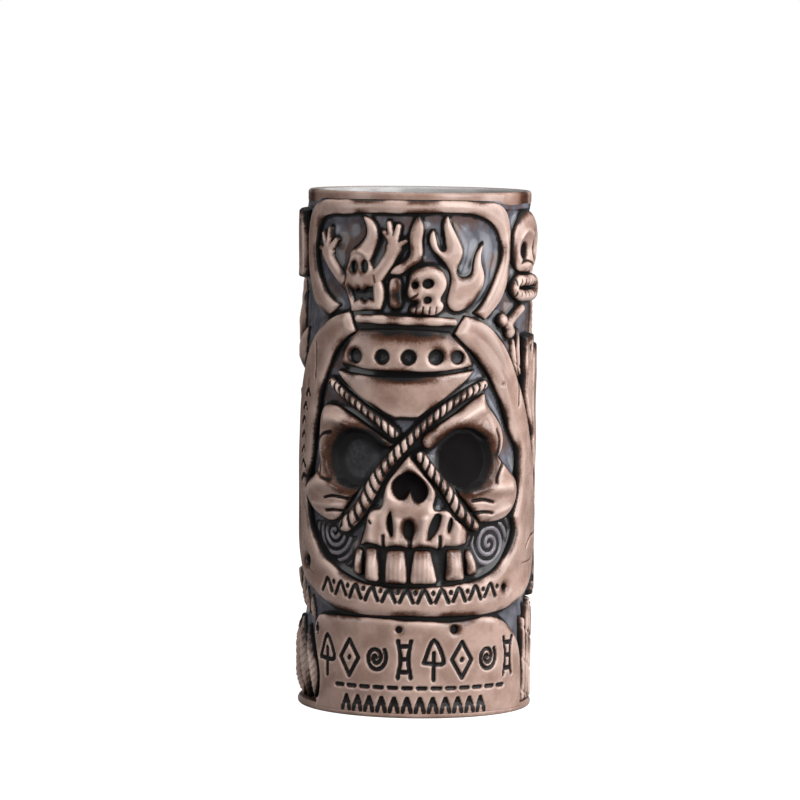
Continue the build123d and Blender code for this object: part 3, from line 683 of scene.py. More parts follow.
# Hollows that are painted black: the node, the place from its middle, the half sizes, and how black
# the rim and the heart are
HOLLOWS = (
    ("skull_left", 8.1, 1.9, 10.6, 9.8, 0.96, 0.68), ("skull_right", -4.6, -0.6, 10, 10, 1.0, 1.0),
    ("nose_and_jaw", -1.4, 5.2, 8, 8, 1.0, 1.0), ("nose_and_jaw", -1.5, -9.0, 15, 7, 0.9, 0.9),
    ("flame_ghoul", 2.0, -10.8, 7, 5, 0.6, 0.6), ("flame_ghoul", 0.6, -0.6, 6, 4, 0.6, 0.6),
    ("small_skull", 0.5, 0.5, 6, 6, 0.8, 0.8), ("cap_plate", 0.0, -2.2, 24, 4, 0.6, 0.6),
    ("crown_bar", 0.0, -3.4, 21, 3.4, 0.85, 0.85), ("nose_and_jaw", 0.0, -20.0, 24, 7, 0.75, 0.75),
    ("side_skull", 0, -3, 12, 6, 1.0, 1.0), ("side_jaw", 0, 0, 12, 3, 1.0, 1.0),
)


def sunk_black():
    """How black the ground is at the bottom of the hollows, as a share at each point of the grid."""
    u, z = np.meshgrid(np.arange(COLUMNS) * STEP_U, np.arange(ROWS) * STEP_Z)
    u = np.where(u > AROUND / 2, u - AROUND, u)
    total = np.zeros(u.shape)
    for node, du, dz, half_u, half_z, full, heart in HOLLOWS:
        middle = PATCHES[node].mid
        across = np.hypot((u - middle[0] - du) / half_u, (z - middle[1] - dz) / half_z)
        ring = heart + (full - heart) * fade((across - 0.62) / 0.16)
        total = np.maximum(total, ring * fade((1.15 - across) / 0.2))
    return total


SUNK = sunk_black()


# ------------------------------------------------------------------ meshes
def linear(hex_colour):
    """An sRGB hex colour as linear red, green, blue and a full alpha."""
    srgb = np.array([int(hex_colour[k:k + 2], 16) for k in (1, 3, 5)]) / 255
    low = srgb / 12.92
    high = ((srgb + 0.055) / 1.055) ** 2.4
    return tuple(np.where(srgb <= 0.04045, low, high)) + (1.0,)


def wrap(u, z, radius):
    """Places in metres of points at (u, z) in mm, at a radius in mm: the angle is u over DRAW_R, 0 at
    the front (-Y) and growing towards +X."""
    angle = u / DRAW_R
    return np.stack([radius * np.sin(angle), -radius * np.cos(angle), z + 0 * angle], -1) * MM


NO_CAPS = np.empty((0, 3), int)


def build_mesh(name, points, faces, wear, material, nodes, caps=NO_CAPS):
    """A smooth-shaded mesh object that rides with the mug and stands for its nodes, made of four-sided
    faces and of many-sided caps. wear is one row a point: stain, crest, scorch and an unused 1."""
    sides = np.concatenate([np.full(len(faces), 4), np.full(len(caps), caps.shape[1])])
    mesh = bpy.data.meshes.new(name)
    mesh.vertices.add(len(points))
    mesh.vertices.foreach_set("co", points.ravel())
    mesh.loops.add(faces.size + caps.size)
    mesh.loops.foreach_set("vertex_index", np.concatenate([faces.ravel(), caps.ravel()]))
    mesh.polygons.add(len(sides))
    mesh.polygons.foreach_set("loop_start", np.cumsum(sides) - sides)
    mesh.polygons.foreach_set("use_smooth", np.ones(len(sides), bool))
    mesh.update(calc_edges=True)
    colour = mesh.attributes.new("wear", "FLOAT_COLOR", "POINT")
    colour.data.foreach_set("color", wear.ravel())
    mesh.materials.append(material)
    piece = bpy.data.objects.new(name, mesh)
    bpy.context.scene.collection.objects.link(piece)
    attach(piece, BODY)
    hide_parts(*nodes)
    return piece


def no_scorch(p):
    """No burnt tone of its own."""
    return np.zeros_like(p.u)


def relief_piece(node, material, scorch=no_scorch):
    """A closed shell for one relief node: its carved face, side walls that drop from the outline to
    just inside the cup's wall and spread a little, and a back that copies the face's grid."""
    seat = 0.35
    flare = 0.3
    p = PATCHES[node]
    count = int(p.used.sum())
    index = np.full(p.used.shape, -1)
    index[p.used] = np.arange(count)
    a, b, c, d = index[:-1, :-1], index[:-1, 1:], index[1:, 1:], index[1:, :-1]
    face = np.stack([a[p.kept], b[p.kept], c[p.kept], d[p.kept]], 1)
    padded = np.pad(p.kept, 1)
    walls = []
    for first, second, beside in (
        (a, b, padded[:-2, 1:-1]), (b, c, padded[1:-1, 2:]),
        (c, d, padded[2:, 1:-1]), (d, a, padded[1:-1, :-2]),
    ):
        rim = p.kept & ~beside
        walls.append(np.stack([second[rim], first[rim], first[rim] + count, second[rim] + count], 1))
    back = face[:, ::-1] + count
    spread = np.where(p.border, flare, 0)
    top = wrap(p.u, p.z, p.radius)[p.used]
    low = wrap(p.u + spread * p.slope_u, p.z + spread * p.slope_z, GROUND_R - seat + 0 * p.u)[p.used]
    edge_ink = 0.7 * fade(1 - p.depth / 0.6)
    patchy = np.clip(0.48 + 0.7 * wander(p.u, p.z, 13, 61), 0, 1)
    # Brown feathered along the edges plus the piece's own burnt tone, which on the hood's left side is
    # painted shade.
    halo_and_shade = scorch(p) + np.maximum(p.burnt, 0.9 * patchy * fade(1 - p.depth / 3.4))
    black = np.maximum(np.maximum(STAIN[p.place], edge_ink), p.soot)
    wear = np.stack([field[p.used] for field in (black, CREST_HIGHLIGHT[p.place], halo_and_shade, np.ones(p.u.shape))], 1)
    under = np.tile([1.0, 0.0, 0.0, 1.0], (count, 1))
    return build_mesh(
        node + "_relief", np.vstack([top, low]), np.vstack([face] + walls + [back]),
        np.vstack([wear, under]), material, [node],
    )


def turned(name, profile, columns, material, nodes, wear=None, swell=1.0, capped=False):
    """A shape of revolution: each profile point (radius, z) in mm is carried round the cup's axis, and
    its radius is scaled by swell. The profile is a closed loop, or it is capped: then it runs up the
    outside from a flat disc at the bottom to a flat disc at the top."""
    r, z = np.array(profile, float).T
    u = np.arange(columns) * AROUND / columns
    points = wrap(u[None, :] + 0 * r[:, None], z[:, None], r[:, None] * swell).reshape(-1, 3)
    row = np.arange(len(r) - 1 if capped else len(r))
    i, j = np.meshgrid(row, np.arange(columns), indexing="ij")
    this = i * columns
    after = (i + 1) % len(r) * columns
    beside = (j + 1) % columns
    faces = np.stack([this + j, this + beside, after + beside, after + j], -1)
    if wear is None:
        wear = np.zeros((len(points), 4))
    ring = np.arange(columns)
    caps = np.stack([ring[::-1], ring + (len(r) - 1) * columns]) if capped else NO_CAPS
    return build_mesh(name, points, faces.reshape(-1, 4), wear, material, nodes, caps)


def arc(centre_r, centre_z, radius, start, end, count=7):
    """Profile points on an arc, with its angles in degrees from +radius towards +z."""
    angle = np.radians(np.linspace(start, end, count))
    return [(centre_r + radius * cos(t), centre_z + radius * sin(t)) for t in angle]


# ------------------------------------------------------------------ materials
def node(tree, kind, settings=None, **links):
    """Add a node: settings are its properties, or its input values where the key is a socket's name,
    and links join its inputs to other nodes' outputs, with _ for each space in a socket's name."""
    made = tree.nodes.new(kind)
    for key, value in (settings or {}).items():
        if key in made.inputs:
            made.inputs[key].default_value = value
        else:
            setattr(made, key, value)
    for key, source in links.items():
        tree.links.new(source, made.inputs[key.replace("_", " ")])
    return made


def new_material(name):
    """An empty node material with its output, and its tree."""
    material = bpy.data.materials.new(name)
    material.use_nodes = True
    material.node_tree.nodes.clear()
    return material, material.node_tree


def noise(tree, place, size_mm, detail=3.0, rough=0.55):
    """Fractal noise whose features are about size_mm across, from 0 to 1."""
    return node(
        tree, "ShaderNodeTexNoise", {"Scale": 1 / (size_mm * MM), "Detail": detail, "Roughness": rough},
        Vector=place,
    ).outputs["Fac"]


def math(tree, operation, first, second=None, clamp=False):
    """One arithmetic step on two sockets or numbers."""
    made = tree.nodes.new("ShaderNodeMath")
    made.operation = operation
    made.use_clamp = clamp
    for socket, value in zip(made.inputs, (first, second)):
        if isinstance(value, (int, float)):
            socket.default_value = value
        elif value is not None:
            tree.links.new(value, socket)
    return made.outputs["Value"]


def spread(tree, value, low, high):
    """Map low..high to 0..1 with soft ends."""
    return node(
        tree, "ShaderNodeMapRange", {"interpolation_type": "SMOOTHSTEP", "From Min": low, "From Max": high},
        Value=value,
    ).outputs["Result"]


def mix(tree, share, first, second):
    """Blend two colours, each a socket or a hex colour."""
    made = tree.nodes.new("ShaderNodeMix")
    made.data_type = "RGBA"
    tree.links.new(share, made.inputs["Factor"])
    for socket, value in ((made.inputs[6], first), (made.inputs[7], second)):
        if isinstance(value, str):
            socket.default_value = linear(value)
        else:
            tree.links.new(value, socket)
    return made.outputs[2]


def glaze(tree, colour, rough, bump_mm, height, coat=0.4, shine=None):
    """Glossy fired glaze: typical ceramic IOR 1.5, with a thin sharper clear layer over it. shine is a
    socket that thins that layer, for a stain that lies dull where it is thick."""
    bumped = node(tree, "ShaderNodeBump", {"Strength": 1.0, "Distance": bump_mm * MM}, Height=height)
    shader = node(
        tree, "ShaderNodeBsdfPrincipled",
        {"IOR": 1.5, "Specular IOR Level": 0.2, "Coat Weight": coat, "Coat Roughness": 0.1, "Coat IOR": 1.35},
        Base_Color=colour, Roughness=rough, Normal=bumped.outputs["Normal"],
    )
    if shine:
        tree.links.new(math(tree, "MULTIPLY", shine, coat), shader.inputs["Coat Weight"])
    node(tree, "ShaderNodeOutputMaterial", None, Surface=shader.outputs["BSDF"])


def stained_clay(name, body, pale, brown, ink, stain_gain=1.0):
    """Antiqued earthenware: an iron-black stain is brushed over tan clay and wiped back, then sealed
    with a clear glaze. The stain stays black in the cuts, feathers out brown in fine speckles along
    the edges, and is gone from the crests, which fire palest."""
    material, tree = new_material(name)
    place = node(tree, "ShaderNodeTexCoord").outputs["Object"]
    wear = node(tree, "ShaderNodeAttribute", {"attribute_name": "wear"})
    parts = node(tree, "ShaderNodeSeparateColor", None, Color=wear.outputs["Color"])
    stain, crest_highlight, scorch = parts.outputs["Red"], parts.outputs["Green"], parts.outputs["Blue"]
    cloud = noise(tree, place, 11.0)
    grain = noise(tree, place, 2.2, 4.0)
    speckle = noise(tree, place, 0.45, 2.0)
    tan = mix(tree, spread(tree, cloud, 0.35, 0.68), body[0], body[1])
    # Painted highlight: the crests are lightened towards the pale colour.
    tan = mix(tree, math(tree, "MULTIPLY", crest_highlight, 0.65), tan, pale)
    uneven = math(tree, "ADD", math(tree, "MULTIPLY", grain, 0.5), math(tree, "MULTIPLY", speckle, 0.55))
    jitter = math(tree, "SUBTRACT", uneven, 0.52)
    # The brown share holds burnt stain and, on the hood's left side, painted shade.
    reach = math(tree, "ADD", math(tree, "MULTIPLY", stain, 1.3 * stain_gain), scorch)
    feather = spread(tree, math(tree, "ADD", reach, jitter), 0.1, 0.8)
    colour = mix(tree, feather, tan, brown)
    deep = math(tree, "ADD", math(tree, "MULTIPLY", stain, stain_gain), math(tree, "MULTIPLY", scorch, 0.58))
    black = spread(tree, math(tree, "ADD", deep, math(tree, "MULTIPLY", jitter, 1.1)), 0.35, 0.8)
    colour = mix(tree, black, colour, ink)
    rough = math(tree, "ADD", math(tree, "MULTIPLY", grain, 0.16), 0.2)
    rough = math(tree, "ADD", rough, math(tree, "MULTIPLY", black, 0.3))
    dull = math(tree, "SUBTRACT", 1.0, math(tree, "MULTIPLY", black, 0.7))
    height = math(tree, "ADD", grain, math(tree, "MULTIPLY", speckle, 0.2))
    glaze(tree, colour, rough, 0.06, height, 0.55, dull)
    return material


def pooled_glaze(name, thin, deep, rust, ink):
    """Slate-grey gloss glaze that runs off the relief and pools on the ground between it: even grey
    out in the open, with rusty patches, and near black where it meets a piece."""
    material, tree = new_material(name)
    place = node(tree, "ShaderNodeTexCoord").outputs["Object"]
    wear = node(tree, "ShaderNodeAttribute", {"attribute_name": "wear"})
    parts = node(tree, "ShaderNodeSeparateColor", None, Color=wear.outputs["Color"])
    cloud = noise(tree, place, 7.0)
    grain = noise(tree, place, 1.6)
    colour = mix(tree, spread(tree, cloud, 0.35, 0.7), deep, thin)
    patches = spread(tree, noise(tree, place, 15.0, 4.0), 0.5, 0.62)
    colour = mix(tree, math(tree, "MULTIPLY", patches, 0.75), colour, rust)
    uneven = math(tree, "MULTIPLY", math(tree, "SUBTRACT", grain, 0.5), 0.35)
    black = spread(tree, math(tree, "ADD", parts.outputs["Red"], uneven), 0.12, 0.85)
    colour = mix(tree, black, colour, ink)
    rough = math(tree, "ADD", math(tree, "MULTIPLY", cloud, 0.12), 0.14)
    rough = math(tree, "ADD", rough, math(tree, "MULTIPLY", parts.outputs["Blue"], 0.45))
    dull = math(tree, "SUBTRACT", 1.0, math(tree, "MULTIPLY", parts.outputs["Blue"], 0.92))
    glaze(tree, colour, rough, 0.08, cloud, 0.45, dull)
    return material


def plain_glaze(name, first, second):
    """One even grey glaze as poured round the inside of a cup: faintly clouded in patches of about
    9 mm, with a slight orange-peel surface that softens its reflections."""
    material, tree = new_material(name)
    place = node(tree, "ShaderNodeTexCoord").outputs["Object"]
    cloud = noise(tree, place, 9.0)
    peel = noise(tree, place, 1.2, 1.0)
    colour = mix(tree, cloud, first, second)
    glaze(tree, colour, math(tree, "ADD", math(tree, "MULTIPLY", cloud, 0.1), 0.14), 0.03, peel)
    return material


def dull_stain(name, ink):
    """Iron-black stain brushed thick into a deep hollow and left unglazed, so it gives back no sheen."""
    material, tree = new_material(name)
    place = node(tree, "ShaderNodeTexCoord").outputs["Object"]
    colour = mix(tree, noise(tree, place, 3.0), ink, "#141012")
    shader = node(
        tree, "ShaderNodeBsdfPrincipled", {"IOR": 1.5, "Specular IOR Level": 0.04, "Roughness": 0.7},
        Base_Color=colour,
    )
    node(tree, "ShaderNodeOutputMaterial", None, Surface=shader.outputs["BSDF"])
    return material


def bare_biscuit(name):
    """Unglazed fired clay, wiped before the firing: matt, with half-millimetre sand in it, and
    unevenly pale."""
    material, tree = new_material(name)
    place = node(tree, "ShaderNodeTexCoord").outputs["Object"]
    sand = noise(tree, place, 0.5, 2.0)
    cloud = noise(tree, place, 8.0)
    colour = mix(tree, cloud, "#B9A08C", "#CDB9A6")
    bumped = node(tree, "ShaderNodeBump", {"Strength": 1.0, "Distance": 0.06 * MM}, Height=sand)
    rough = math(tree, "ADD", math(tree, "MULTIPLY", sand, 0.2), 0.68)
    shader = node(
        tree, "ShaderNodeBsdfPrincipled", {"IOR": 1.5}, Base_Color=colour, Roughness=rough,
        Normal=bumped.outputs["Normal"],
    )
    node(tree, "ShaderNodeOutputMaterial", None, Surface=shader.outputs["BSDF"])
    return material


# ------------------------------------------------------------------ settings
class MugGlaze(bpy.types.PropertyGroup):
    """The colours of the clay, its stain and its glazes, as sRGB hex values."""
    clay_dark: bpy.props.StringProperty(name="Clay, dark", description="Body clay", default="#83695E")
    clay_light: bpy.props.StringProperty(name="Clay, light", description="Body clay", default="#A0867B")
    # The crest colour is a painted highlight for the raised edges, paler than the clay.
    crest_highlight: bpy.props.StringProperty(name="Crest", description="Clay rubbed bare", default="#CBB4AA")
    brown: bpy.props.StringProperty(name="Brown stain", description="Feathered stain", default="#4A2B1C")
    black: bpy.props.StringProperty(name="Black stain", description="Stain in the cuts", default="#0B0909")
    slate: bpy.props.StringProperty(name="Slate glaze", description="Open ground", default="#63636C")
    slate_deep: bpy.props.StringProperty(name="Slate, deep", description="Thick glaze", default="#43434B")
    rust: bpy.props.StringProperty(name="Rust", description="Brown in the ground", default="#543D33")
    inside: bpy.props.StringProperty(name="Inner glaze", description="Inside the cup", default="#8E8C8C")


class MugStage(bpy.types.PropertyGroup):
    """Where the camera stands and how bright the lamps are."""
    distance: bpy.props.FloatProperty(
        name="Distance", description="Camera to the mug's axis", default=1.555, unit="LENGTH")
    camera_height: bpy.props.FloatProperty(
        name="Camera height", description="Above the table", default=0.227, unit="LENGTH")
    azimuth: bpy.props.FloatProperty(
        name="Azimuth", description="Round from the front towards +X", default=radians(6), subtype="ANGLE")
    pitch: bpy.props.FloatProperty(
        name="Pitch", description="How far it looks down", default=radians(4.482), subtype="ANGLE")
    roll: bpy.props.FloatProperty(
        name="Roll", description="How far the mug leans in view", default=radians(0.7), subtype="ANGLE")
    lens: bpy.props.FloatProperty(name="Lens", description="Focal length in mm", default=203.0)
    key: bpy.props.FloatProperty(name="Key", description="Softbox to the right", default=12.5, unit="POWER")
    fill: bpy.props.FloatProperty(name="Fill", description="Softbox to the left", default=3.2, unit="POWER")
    side: bpy.props.FloatProperty(name="Side", description="Softbox far right", default=9.0, unit="POWER")
    top: bpy.props.FloatProperty(name="Top", description="Softbox above", default=7.0, unit="POWER")
    air: bpy.props.FloatProperty(name="Air", description="Light from the room", default=0.16)


_finishes = {}


def finish_of(name):
    """Each finish is made once, the first time that a piece asks for it."""
    if name not in _finishes:
        g = bpy.context.scene.mug_glaze
        clay = ((g.clay_dark, g.clay_light), g.crest_highlight, g.brown, g.black)
        makers = {
            "stained_clay": lambda: stained_clay("stained_clay", *clay),
            "stained_rope": lambda: stained_clay("stained_rope", *clay, 1.15),
            # The swirls' crests are lightened towards #8F8184 as a painted highlight.
            "slate_swirl": lambda: stained_clay(
                "slate_swirl", (g.slate_deep, g.slate), "#8F8184", "#2E2A2C", g.black, 0.9),
            "pooled_slate": lambda: pooled_glaze("pooled_slate", g.slate, g.slate_deep, g.rust, g.black),
            "inner_glaze": lambda: plain_glaze("inner_glaze", g.inside, "#A3A1A0"),
            "bare_biscuit": lambda: bare_biscuit("bare_biscuit"),
            "dull_stain": lambda: dull_stain("dull_stain", g.black),
        }
        _finishes[name] = makers[name]()
    return _finishes[name]


def scorch_top(p):
    """Brown airbrushed down from the piece's upper edge."""
    return 1.25 * fade(1 - (p.high[1] - p.z) / 7.5) * fade(1.2 - np.abs(p.u - p.mid[0]) / 20)


def scorch_ends(p):
    """Brown left towards both ends of a long piece."""
    reach = np.abs(p.z - p.mid[1]) / (p.size[1] / 2)
    return 0.45 * fade((reach - 0.72) / 0.3)


def scorch_and_shade_hood(p):
    """The hood is browner towards its left side and under its lower edge."""
    # Painted shade: the left end, which gets less light, is darkened brown.
    left = fade((p.mid[0] - 42 - p.u) / 20)
    low = fade(1 - (p.z - p.low[1]) / 5)
    return 0.3 * left + 0.25 * low


def scorch_all(p):
    """Brown all over, in patches."""
    return np.clip(0.5 + 0.35 * wander(p.u, p.z, 6, 71), 0, 1)


# ------------------------------------------------------------------ operators
class Maker(bpy.types.Operator):
    """Base of the makers: lay each of the listed relief nodes in one finish."""
    bl_options = {"REGISTER"}
    nodes = ()
    finish = "stained_clay"
    scorch = staticmethod(no_scorch)

    def execute(self, context):
        for name in self.nodes:
            relief_piece(name, finish_of(self.finish), self.scorch)
        return {"FINISHED"}


class MUG_OT_cup(bpy.types.Operator):
    """Make the cup's wall with its slate ground outside and its grey glaze inside, and the floor"""
    bl_idname = "mug.cup"
    bl_label = "Cup wall and floor"

    def execute(self, context):
        self.wall()
        self.floor()
        return {"FINISHED"}

    def wall(self):
        """The tube. Its outside takes every second row and column of the grid, at the ground's radius
        and with the ground's stain; the deepest hollows are unglazed black."""
        stride = 2
        rows = np.arange(int(FLOOR_Z / STEP_Z) + 1, ROWS - 8, stride)
        columns = COLUMNS // stride
        skin = slice(1, 1 + len(rows))
        fillet_r = 6
        outside = [(GROUND_R, FLOOR_Z)] + [(GROUND_R, row * STEP_Z) for row in rows]
        lip = arc(GROUND_R - 1.2, HEIGHT - 1.3, 1.2, 20, 90) + arc(BORE_R + 1.2, HEIGHT - 1.3, 1.2, 90, 180)
        inside = [(BORE_R, z) for z in np.linspace(HEIGHT - 3, FLOOR_Z + fillet_r, 24)]
        fillet = arc(BORE_R - fillet_r, FLOOR_Z + fillet_r, fillet_r, 0, -90, 8)[1:]
        profile = outside + lip + inside + fillet + [(BORE_R - fillet_r, FLOOR_Z)]

        def on_skin(field):
            return field[rows][:, ::stride][:, :columns]

        wear = np.zeros((len(profile), columns, 4))
        wear[skin, :, 0] = on_skin(np.maximum(np.where(COVERED, 1.0, STAIN), SUNK))
        wear[skin, :, 1] = on_skin(CREST_HIGHLIGHT)
        wear[skin, :, 2] = on_skin(SUNK)
        swell = np.ones((len(profile), columns))
        swell[skin] = on_skin(GROUND) / GROUND_R
        slate = finish_of("pooled_slate")
        wall = turned("cup_wall_glazed", profile, columns, slate, ["cup_wall"], wear, swell)
        wall.data.materials.append(finish_of("inner_glaze"))
        wall.data.materials.append(finish_of("dull_stain"))
        centre = np.empty(len(wall.data.polygons) * 3)
        wall.data.polygons.foreach_get("center", centre)
        centre = centre.reshape(-1, 3) / MM
        inner = (np.hypot(centre[:, 0], centre[:, 1]) < GROUND_R - 1) | (centre[:, 2] > HEIGHT - 1.0)
        hollow = wear[..., 2] > 0.97
        hollow = hollow & np.roll(hollow, -1, 0) & np.roll(hollow, -1, 1)
        index = np.where(inner, 1, 2 * hollow.ravel())
        wall.data.polygons.foreach_set("material_index", index.astype(np.int32))

    def floor(self):
        """The floor disc: bare clay underneath with a shallow hollow in it, slate at its side and grey
        glaze on top."""
        side_r = GROUND_R - 0.3
        profile = [(2.0, 0.9), (side_r - 5, 0.7), (side_r - 4, 0.0)] + arc(side_r - 1.0, 1.0, 1.0, -90, 0)
        profile += [(side_r, FLOOR_Z - 0.1), (BORE_R - 5, FLOOR_Z - 0.05), (2.0, FLOOR_Z - 0.05)]
        biscuit = finish_of("bare_biscuit")
        floor = turned("cup_floor_bisque", profile, 180, biscuit, ["cup_floor"], capped=True)
        floor.data.materials.append(finish_of("inner_glaze"))
        floor.data.materials.append(finish_of("pooled_slate"))
        normal = np.empty(len(floor.data.polygons) * 3)
        floor.data.polygons.foreach_get("normal", normal)
        upward = normal[2::3]
        index = np.where(upward > 0.5, 1, np.where(upward > -0.3, 2, 0))
        floor.data.polygons.foreach_set("material_index", index.astype(np.int32))


class MUG_OT_lip_and_foot(bpy.types.Operator):
    """Make the rounded lip and the foot band"""
    bl_idname = "mug.lip_and_foot"
    bl_label = "Lip and foot"

    def execute(self, context):
        outer, low = LIP_HIGH[0], LIP_LOW[2]
        profile = [(GROUND_R - 0.6, low - 1.0), (GROUND_R + 0.05, low - 0.6), (outer - 0.35, low + 0.9)]
        profile += [(outer, low + 2.0), (outer, HEIGHT - 1.3)] + arc(outer - 1.1, HEIGHT - 1.1, 1.1, 0, 90)
        profile += [(GROUND_R - 1.2, HEIGHT), (GROUND_R - 1.2, HEIGHT - 2)]
        self.band("lip_band_glazed", profile, "lip_band", self.lip_scorch)
        outer, high = FOOT_HIGH[0], FOOT_HIGH[2]
        profile = [(GROUND_R - 0.6, 0.6), (outer - 1.4, 0.0)] + arc(outer - 1.0, 1.0, 1.0, -75, 0)
        profile += [(outer, high - 0.8), (outer - 0.3, high - 0.1), (outer - 0.8, high + 0.4)]
        profile += [(GROUND_R + 1.0, high + 0.9), (GROUND_R - 0.6, high + 1.4)]
        self.band("foot_band_glazed", profile, "foot_band", lambda u, z: 0 * u * z)
        return {"FINISHED"}

    def lip_scorch(self, u, z):
        """Brown gathers under the lip, and in two burnt spots at the left and the right of the front."""
        u = (u + AROUND / 2) % AROUND - AROUND / 2
        spots = np.exp(-((u + 47) / 4) ** 2) + 1.1 * np.exp(-((u - 52) / 5) ** 2)
        return 0.3 * fade((HEIGHT - 3.0 - z) / 3) + 0.9 * spots

    def band(self, name, profile, node_name, scorch):
        """A turned band whose stain follows the relief beside it."""
        columns = COLUMNS // 2
        z = np.array(profile)[:, 1]
        row = np.clip(np.round(z / STEP_Z).astype(int), 0, ROWS - 1)
        wear = np.zeros((len(profile), columns, 4))
        wear[..., 0] = 0.6 * STAIN[row][:, ::2]
        wear[..., 2] = scorch((np.arange(columns) * AROUND / columns)[None, :], z[:, None])
        turned(name, profile, columns, finish_of("stained_clay"), [node_name], wear)


def maker(idname, label, doc, nodes, finish="stained_clay", scorch=no_scorch):
    """An operator class that lays one group of like pieces."""
    return type(
        "MUG_OT_" + idname, (Maker,),
        {"__doc__": doc, "bl_idname": "mug." + idname, "bl_label": label, "nodes": nodes, "finish": finish,
         "scorch": staticmethod(scorch)},
    )


RELIEF_MAKERS = [
    maker("crown_frame", "Crown frame", "Lay the rounded frame round the flames", ("crown_frame",)),
    maker("flame_figure", "Flame figure", "Lay the flame figure with its arms up", ("flame_ghoul",)),
    maker("flame_stub", "Flame stub", "Lay the burnt stub of flame", ("flame_stub",), scorch=scorch_all),
    maker("flames", "Flames", "Lay the tongues of flame", ("flame_centre", "flame_right")),
    maker("small_skull", "Small skull", "Lay the small skull", ("small_skull",)),
    maker("crown_bar", "Crown bar", "Lay the bar under the crown", ("crown_bar",)),
    maker("hood", "Hood", "Lay the hood band", ("hood_band",), scorch=scorch_and_shade_hood),
    maker("plates", "Cap and forehead", "Lay the two plates of the brow", ("cap_plate", "forehead_plate"),
          scorch=scorch_top),
    maker("face", "Skull face", "Lay both sides of the face", ("skull_left", "skull_right", "nose_and_jaw")),
    maker("teeth", "Teeth", "Lay the six teeth", tuple(f"tooth_{k}" for k in range(1, 7))),
    maker("ropes", "Ropes", "Lay the crossed ropes and the back rope",
          ("rope_under", "rope_over", "rope_band"), finish="stained_rope"),
    maker("swirls", "Swirls", "Lay the smoke swirls", ("swirl_left", "swirl_right"), finish="slate_swirl"),
    maker("plaque", "Plaque", "Lay the plaque", ("plaque",)),
    maker("leaves", "Leaves and reeds", "Lay the leaves and reeds",
          ("leaf_blades", "leaf_buds", "reeds_low", "side_reeds", "low_leaves", "back_leaves")),
    maker("side_bones", "Side skull", "Lay the side skull, jaw and bone",
          ("side_skull", "side_jaw", "side_bone")),
    maker("boards", "Boards", "Lay the boards", tuple(f"board_{k}" for k in range(1, 11)) + ("side_board",),
          scorch=scorch_ends),
    maker("palm", "Palm", "Lay the palm trunk and fronds", ("palm_trunk", "palm_fronds")),
    maker("back_bones", "Back skull", "Lay the back skull, jaw, crossed bones and flames",
          ("back_skull", "back_jaw", "back_bone_over", "back_bone_under", "back_flames")),
]


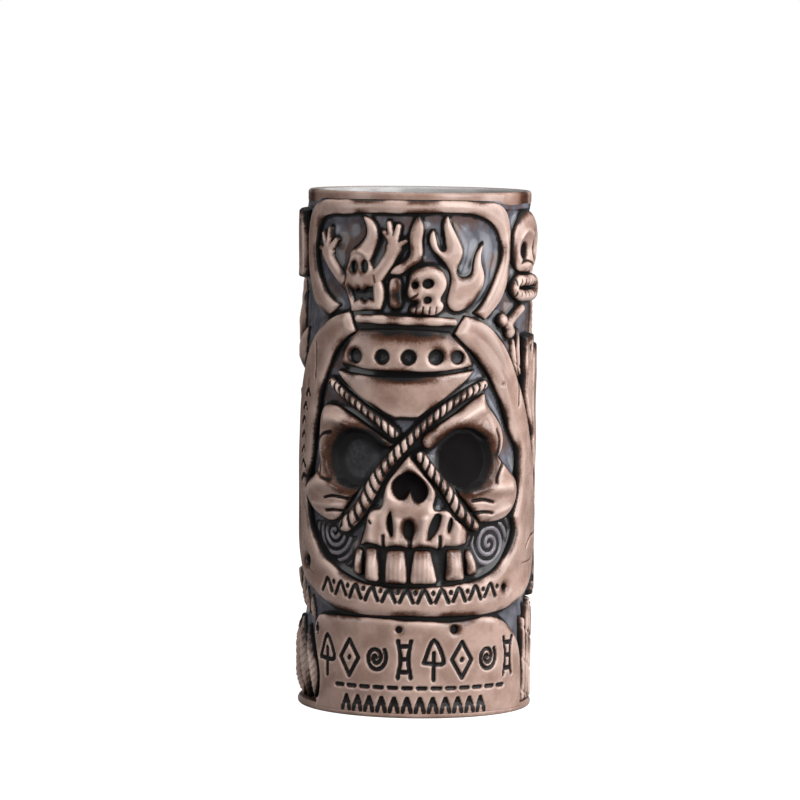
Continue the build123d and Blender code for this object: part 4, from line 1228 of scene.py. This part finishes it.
class MUG_OT_stage(bpy.types.Operator):
    """Set the pale floor, the softboxes and the camera"""
    bl_idname = "mug.stage"
    bl_label = "Stage"

    def execute(self, context):
        s = context.scene.mug_stage
        reach = 30.0
        corners = [(-reach, -reach, 0), (reach, -reach, 0), (reach, reach, 0), (-reach, reach, 0)]
        mesh = bpy.data.meshes.new("studio_floor")
        mesh.from_pydata(corners, [], [(0, 1, 2, 3)])
        floor = bpy.data.objects.new("studio_floor", mesh)
        context.scene.collection.objects.link(floor)
        material, tree = new_material("pale_paper")
        tone = noise(tree, node(tree, "ShaderNodeTexCoord").outputs["Object"], 60.0)
        colour = mix(tree, tone, "#7B7A79", "#807F7E")
        seen = node(tree, "ShaderNodeLightPath").outputs["Is Camera Ray"]
        shader = node(
            tree, "ShaderNodeBsdfPrincipled",
            {"Roughness": 0.9, "Specular IOR Level": 0.1, "Emission Color": linear("#FFFFFF")},
            Base_Color=colour, Emission_Strength=seen,
        )
        node(tree, "ShaderNodeOutputMaterial", None, Surface=shader.outputs["BSDF"])
        mesh.materials.append(material)

        self.air(context, s)
        self.softbox(context, "key_softbox", s.key, (0.62, -0.62, 0.52), 0.5, 0.9)
        self.softbox(context, "fill_softbox", s.fill, (-0.75, -0.55, 0.35), 0.5, 0.8)
        self.softbox(context, "side_softbox", s.side, (0.86, -0.06, 0.3), 0.5, 1.0)
        self.softbox(context, "top_softbox", s.top, (0.0, 0.1, 1.1), 1.2, 1.2)

        sensor = 36.0
        picture = 800
        off_centre = 17.5
        camera_data = bpy.data.cameras.new("camera")
        camera_data.lens = s.lens
        camera_data.sensor_width = sensor
        camera_data.clip_end = 50
        camera = bpy.data.objects.new("camera", camera_data)
        context.scene.collection.objects.link(camera)
        place = Vector((s.distance * sin(s.azimuth), -s.distance * cos(s.azimuth), s.camera_height))
        aim = Euler((pi / 2 - s.pitch, 0, s.azimuth)).to_matrix().to_4x4()
        lean = Matrix.Rotation(s.roll, 4, "Z")
        yaw = Matrix.Rotation(atan2(off_centre, s.lens / sensor * picture), 4, "Y")
        camera.matrix_world = Matrix.Translation(place) @ aim @ yaw @ lean
        context.scene.camera = camera
        context.scene.view_settings.view_transform = "Standard"
        return {"FINISHED"}

    def air(self, context, s):
        """A white room to look at, whose light on the mug is dimmer than it looks."""
        world = bpy.data.worlds.new("studio_air")
        world.use_nodes = True
        tree = world.node_tree
        seen = node(tree, "ShaderNodeLightPath").outputs["Is Camera Ray"]
        tree.nodes["Background"].inputs["Color"].default_value = linear("#FFFFFF")
        strength = node(tree, "ShaderNodeMapRange", {"To Min": s.air, "To Max": 1.0}, Value=seen)
        tree.links.new(strength.outputs["Result"], tree.nodes["Background"].inputs["Strength"])
        context.scene.world = world

    def softbox(self, context, name, power, place, width, height):
        """An area lamp aimed at the middle of the mug."""
        lamp = bpy.data.lights.new(name, "AREA")
        lamp.shape = "RECTANGLE"
        lamp.size = width
        lamp.size_y = height
        lamp.energy = power
        thing = bpy.data.objects.new(name, lamp)
        context.scene.collection.objects.link(thing)
        thing.location = place
        away = Vector(place) - Vector((0, 0, HEIGHT * MM / 2))
        thing.rotation_euler = away.to_track_quat("Z", "Y").to_euler()


class MUG_PT_panel(bpy.types.Panel):
    """The mug's settings and makers"""
    bl_idname = "MUG_PT_panel"
    bl_label = "Tiki Mug"
    bl_space_type = "VIEW_3D"
    bl_region_type = "UI"
    bl_category = "Tiki Mug"

    def draw(self, context):
        for group in (context.scene.mug_glaze, context.scene.mug_stage):
            for name in group.__annotations__:
                self.layout.prop(group, name)
        for operator in OPERATORS:
            self.layout.operator(operator.bl_idname)


OPERATORS = [MUG_OT_cup, MUG_OT_lip_and_foot] + RELIEF_MAKERS + [MUG_OT_stage]
CLASSES = [MugGlaze, MugStage] + OPERATORS + [MUG_PT_panel]


def register():
    for cls in CLASSES:
        bpy.utils.register_class(cls)
    bpy.types.Scene.mug_glaze = bpy.props.PointerProperty(type=MugGlaze)
    bpy.types.Scene.mug_stage = bpy.props.PointerProperty(type=MugStage)


def unregister():
    del bpy.types.Scene.mug_stage
    del bpy.types.Scene.mug_glaze
    for cls in reversed(CLASSES):
        bpy.utils.unregister_class(cls)


def main():
    register()
    for operator in OPERATORS:
        getattr(bpy.ops.mug, operator.bl_idname.split(".")[1])()


if __name__ == "__main__":
    main()
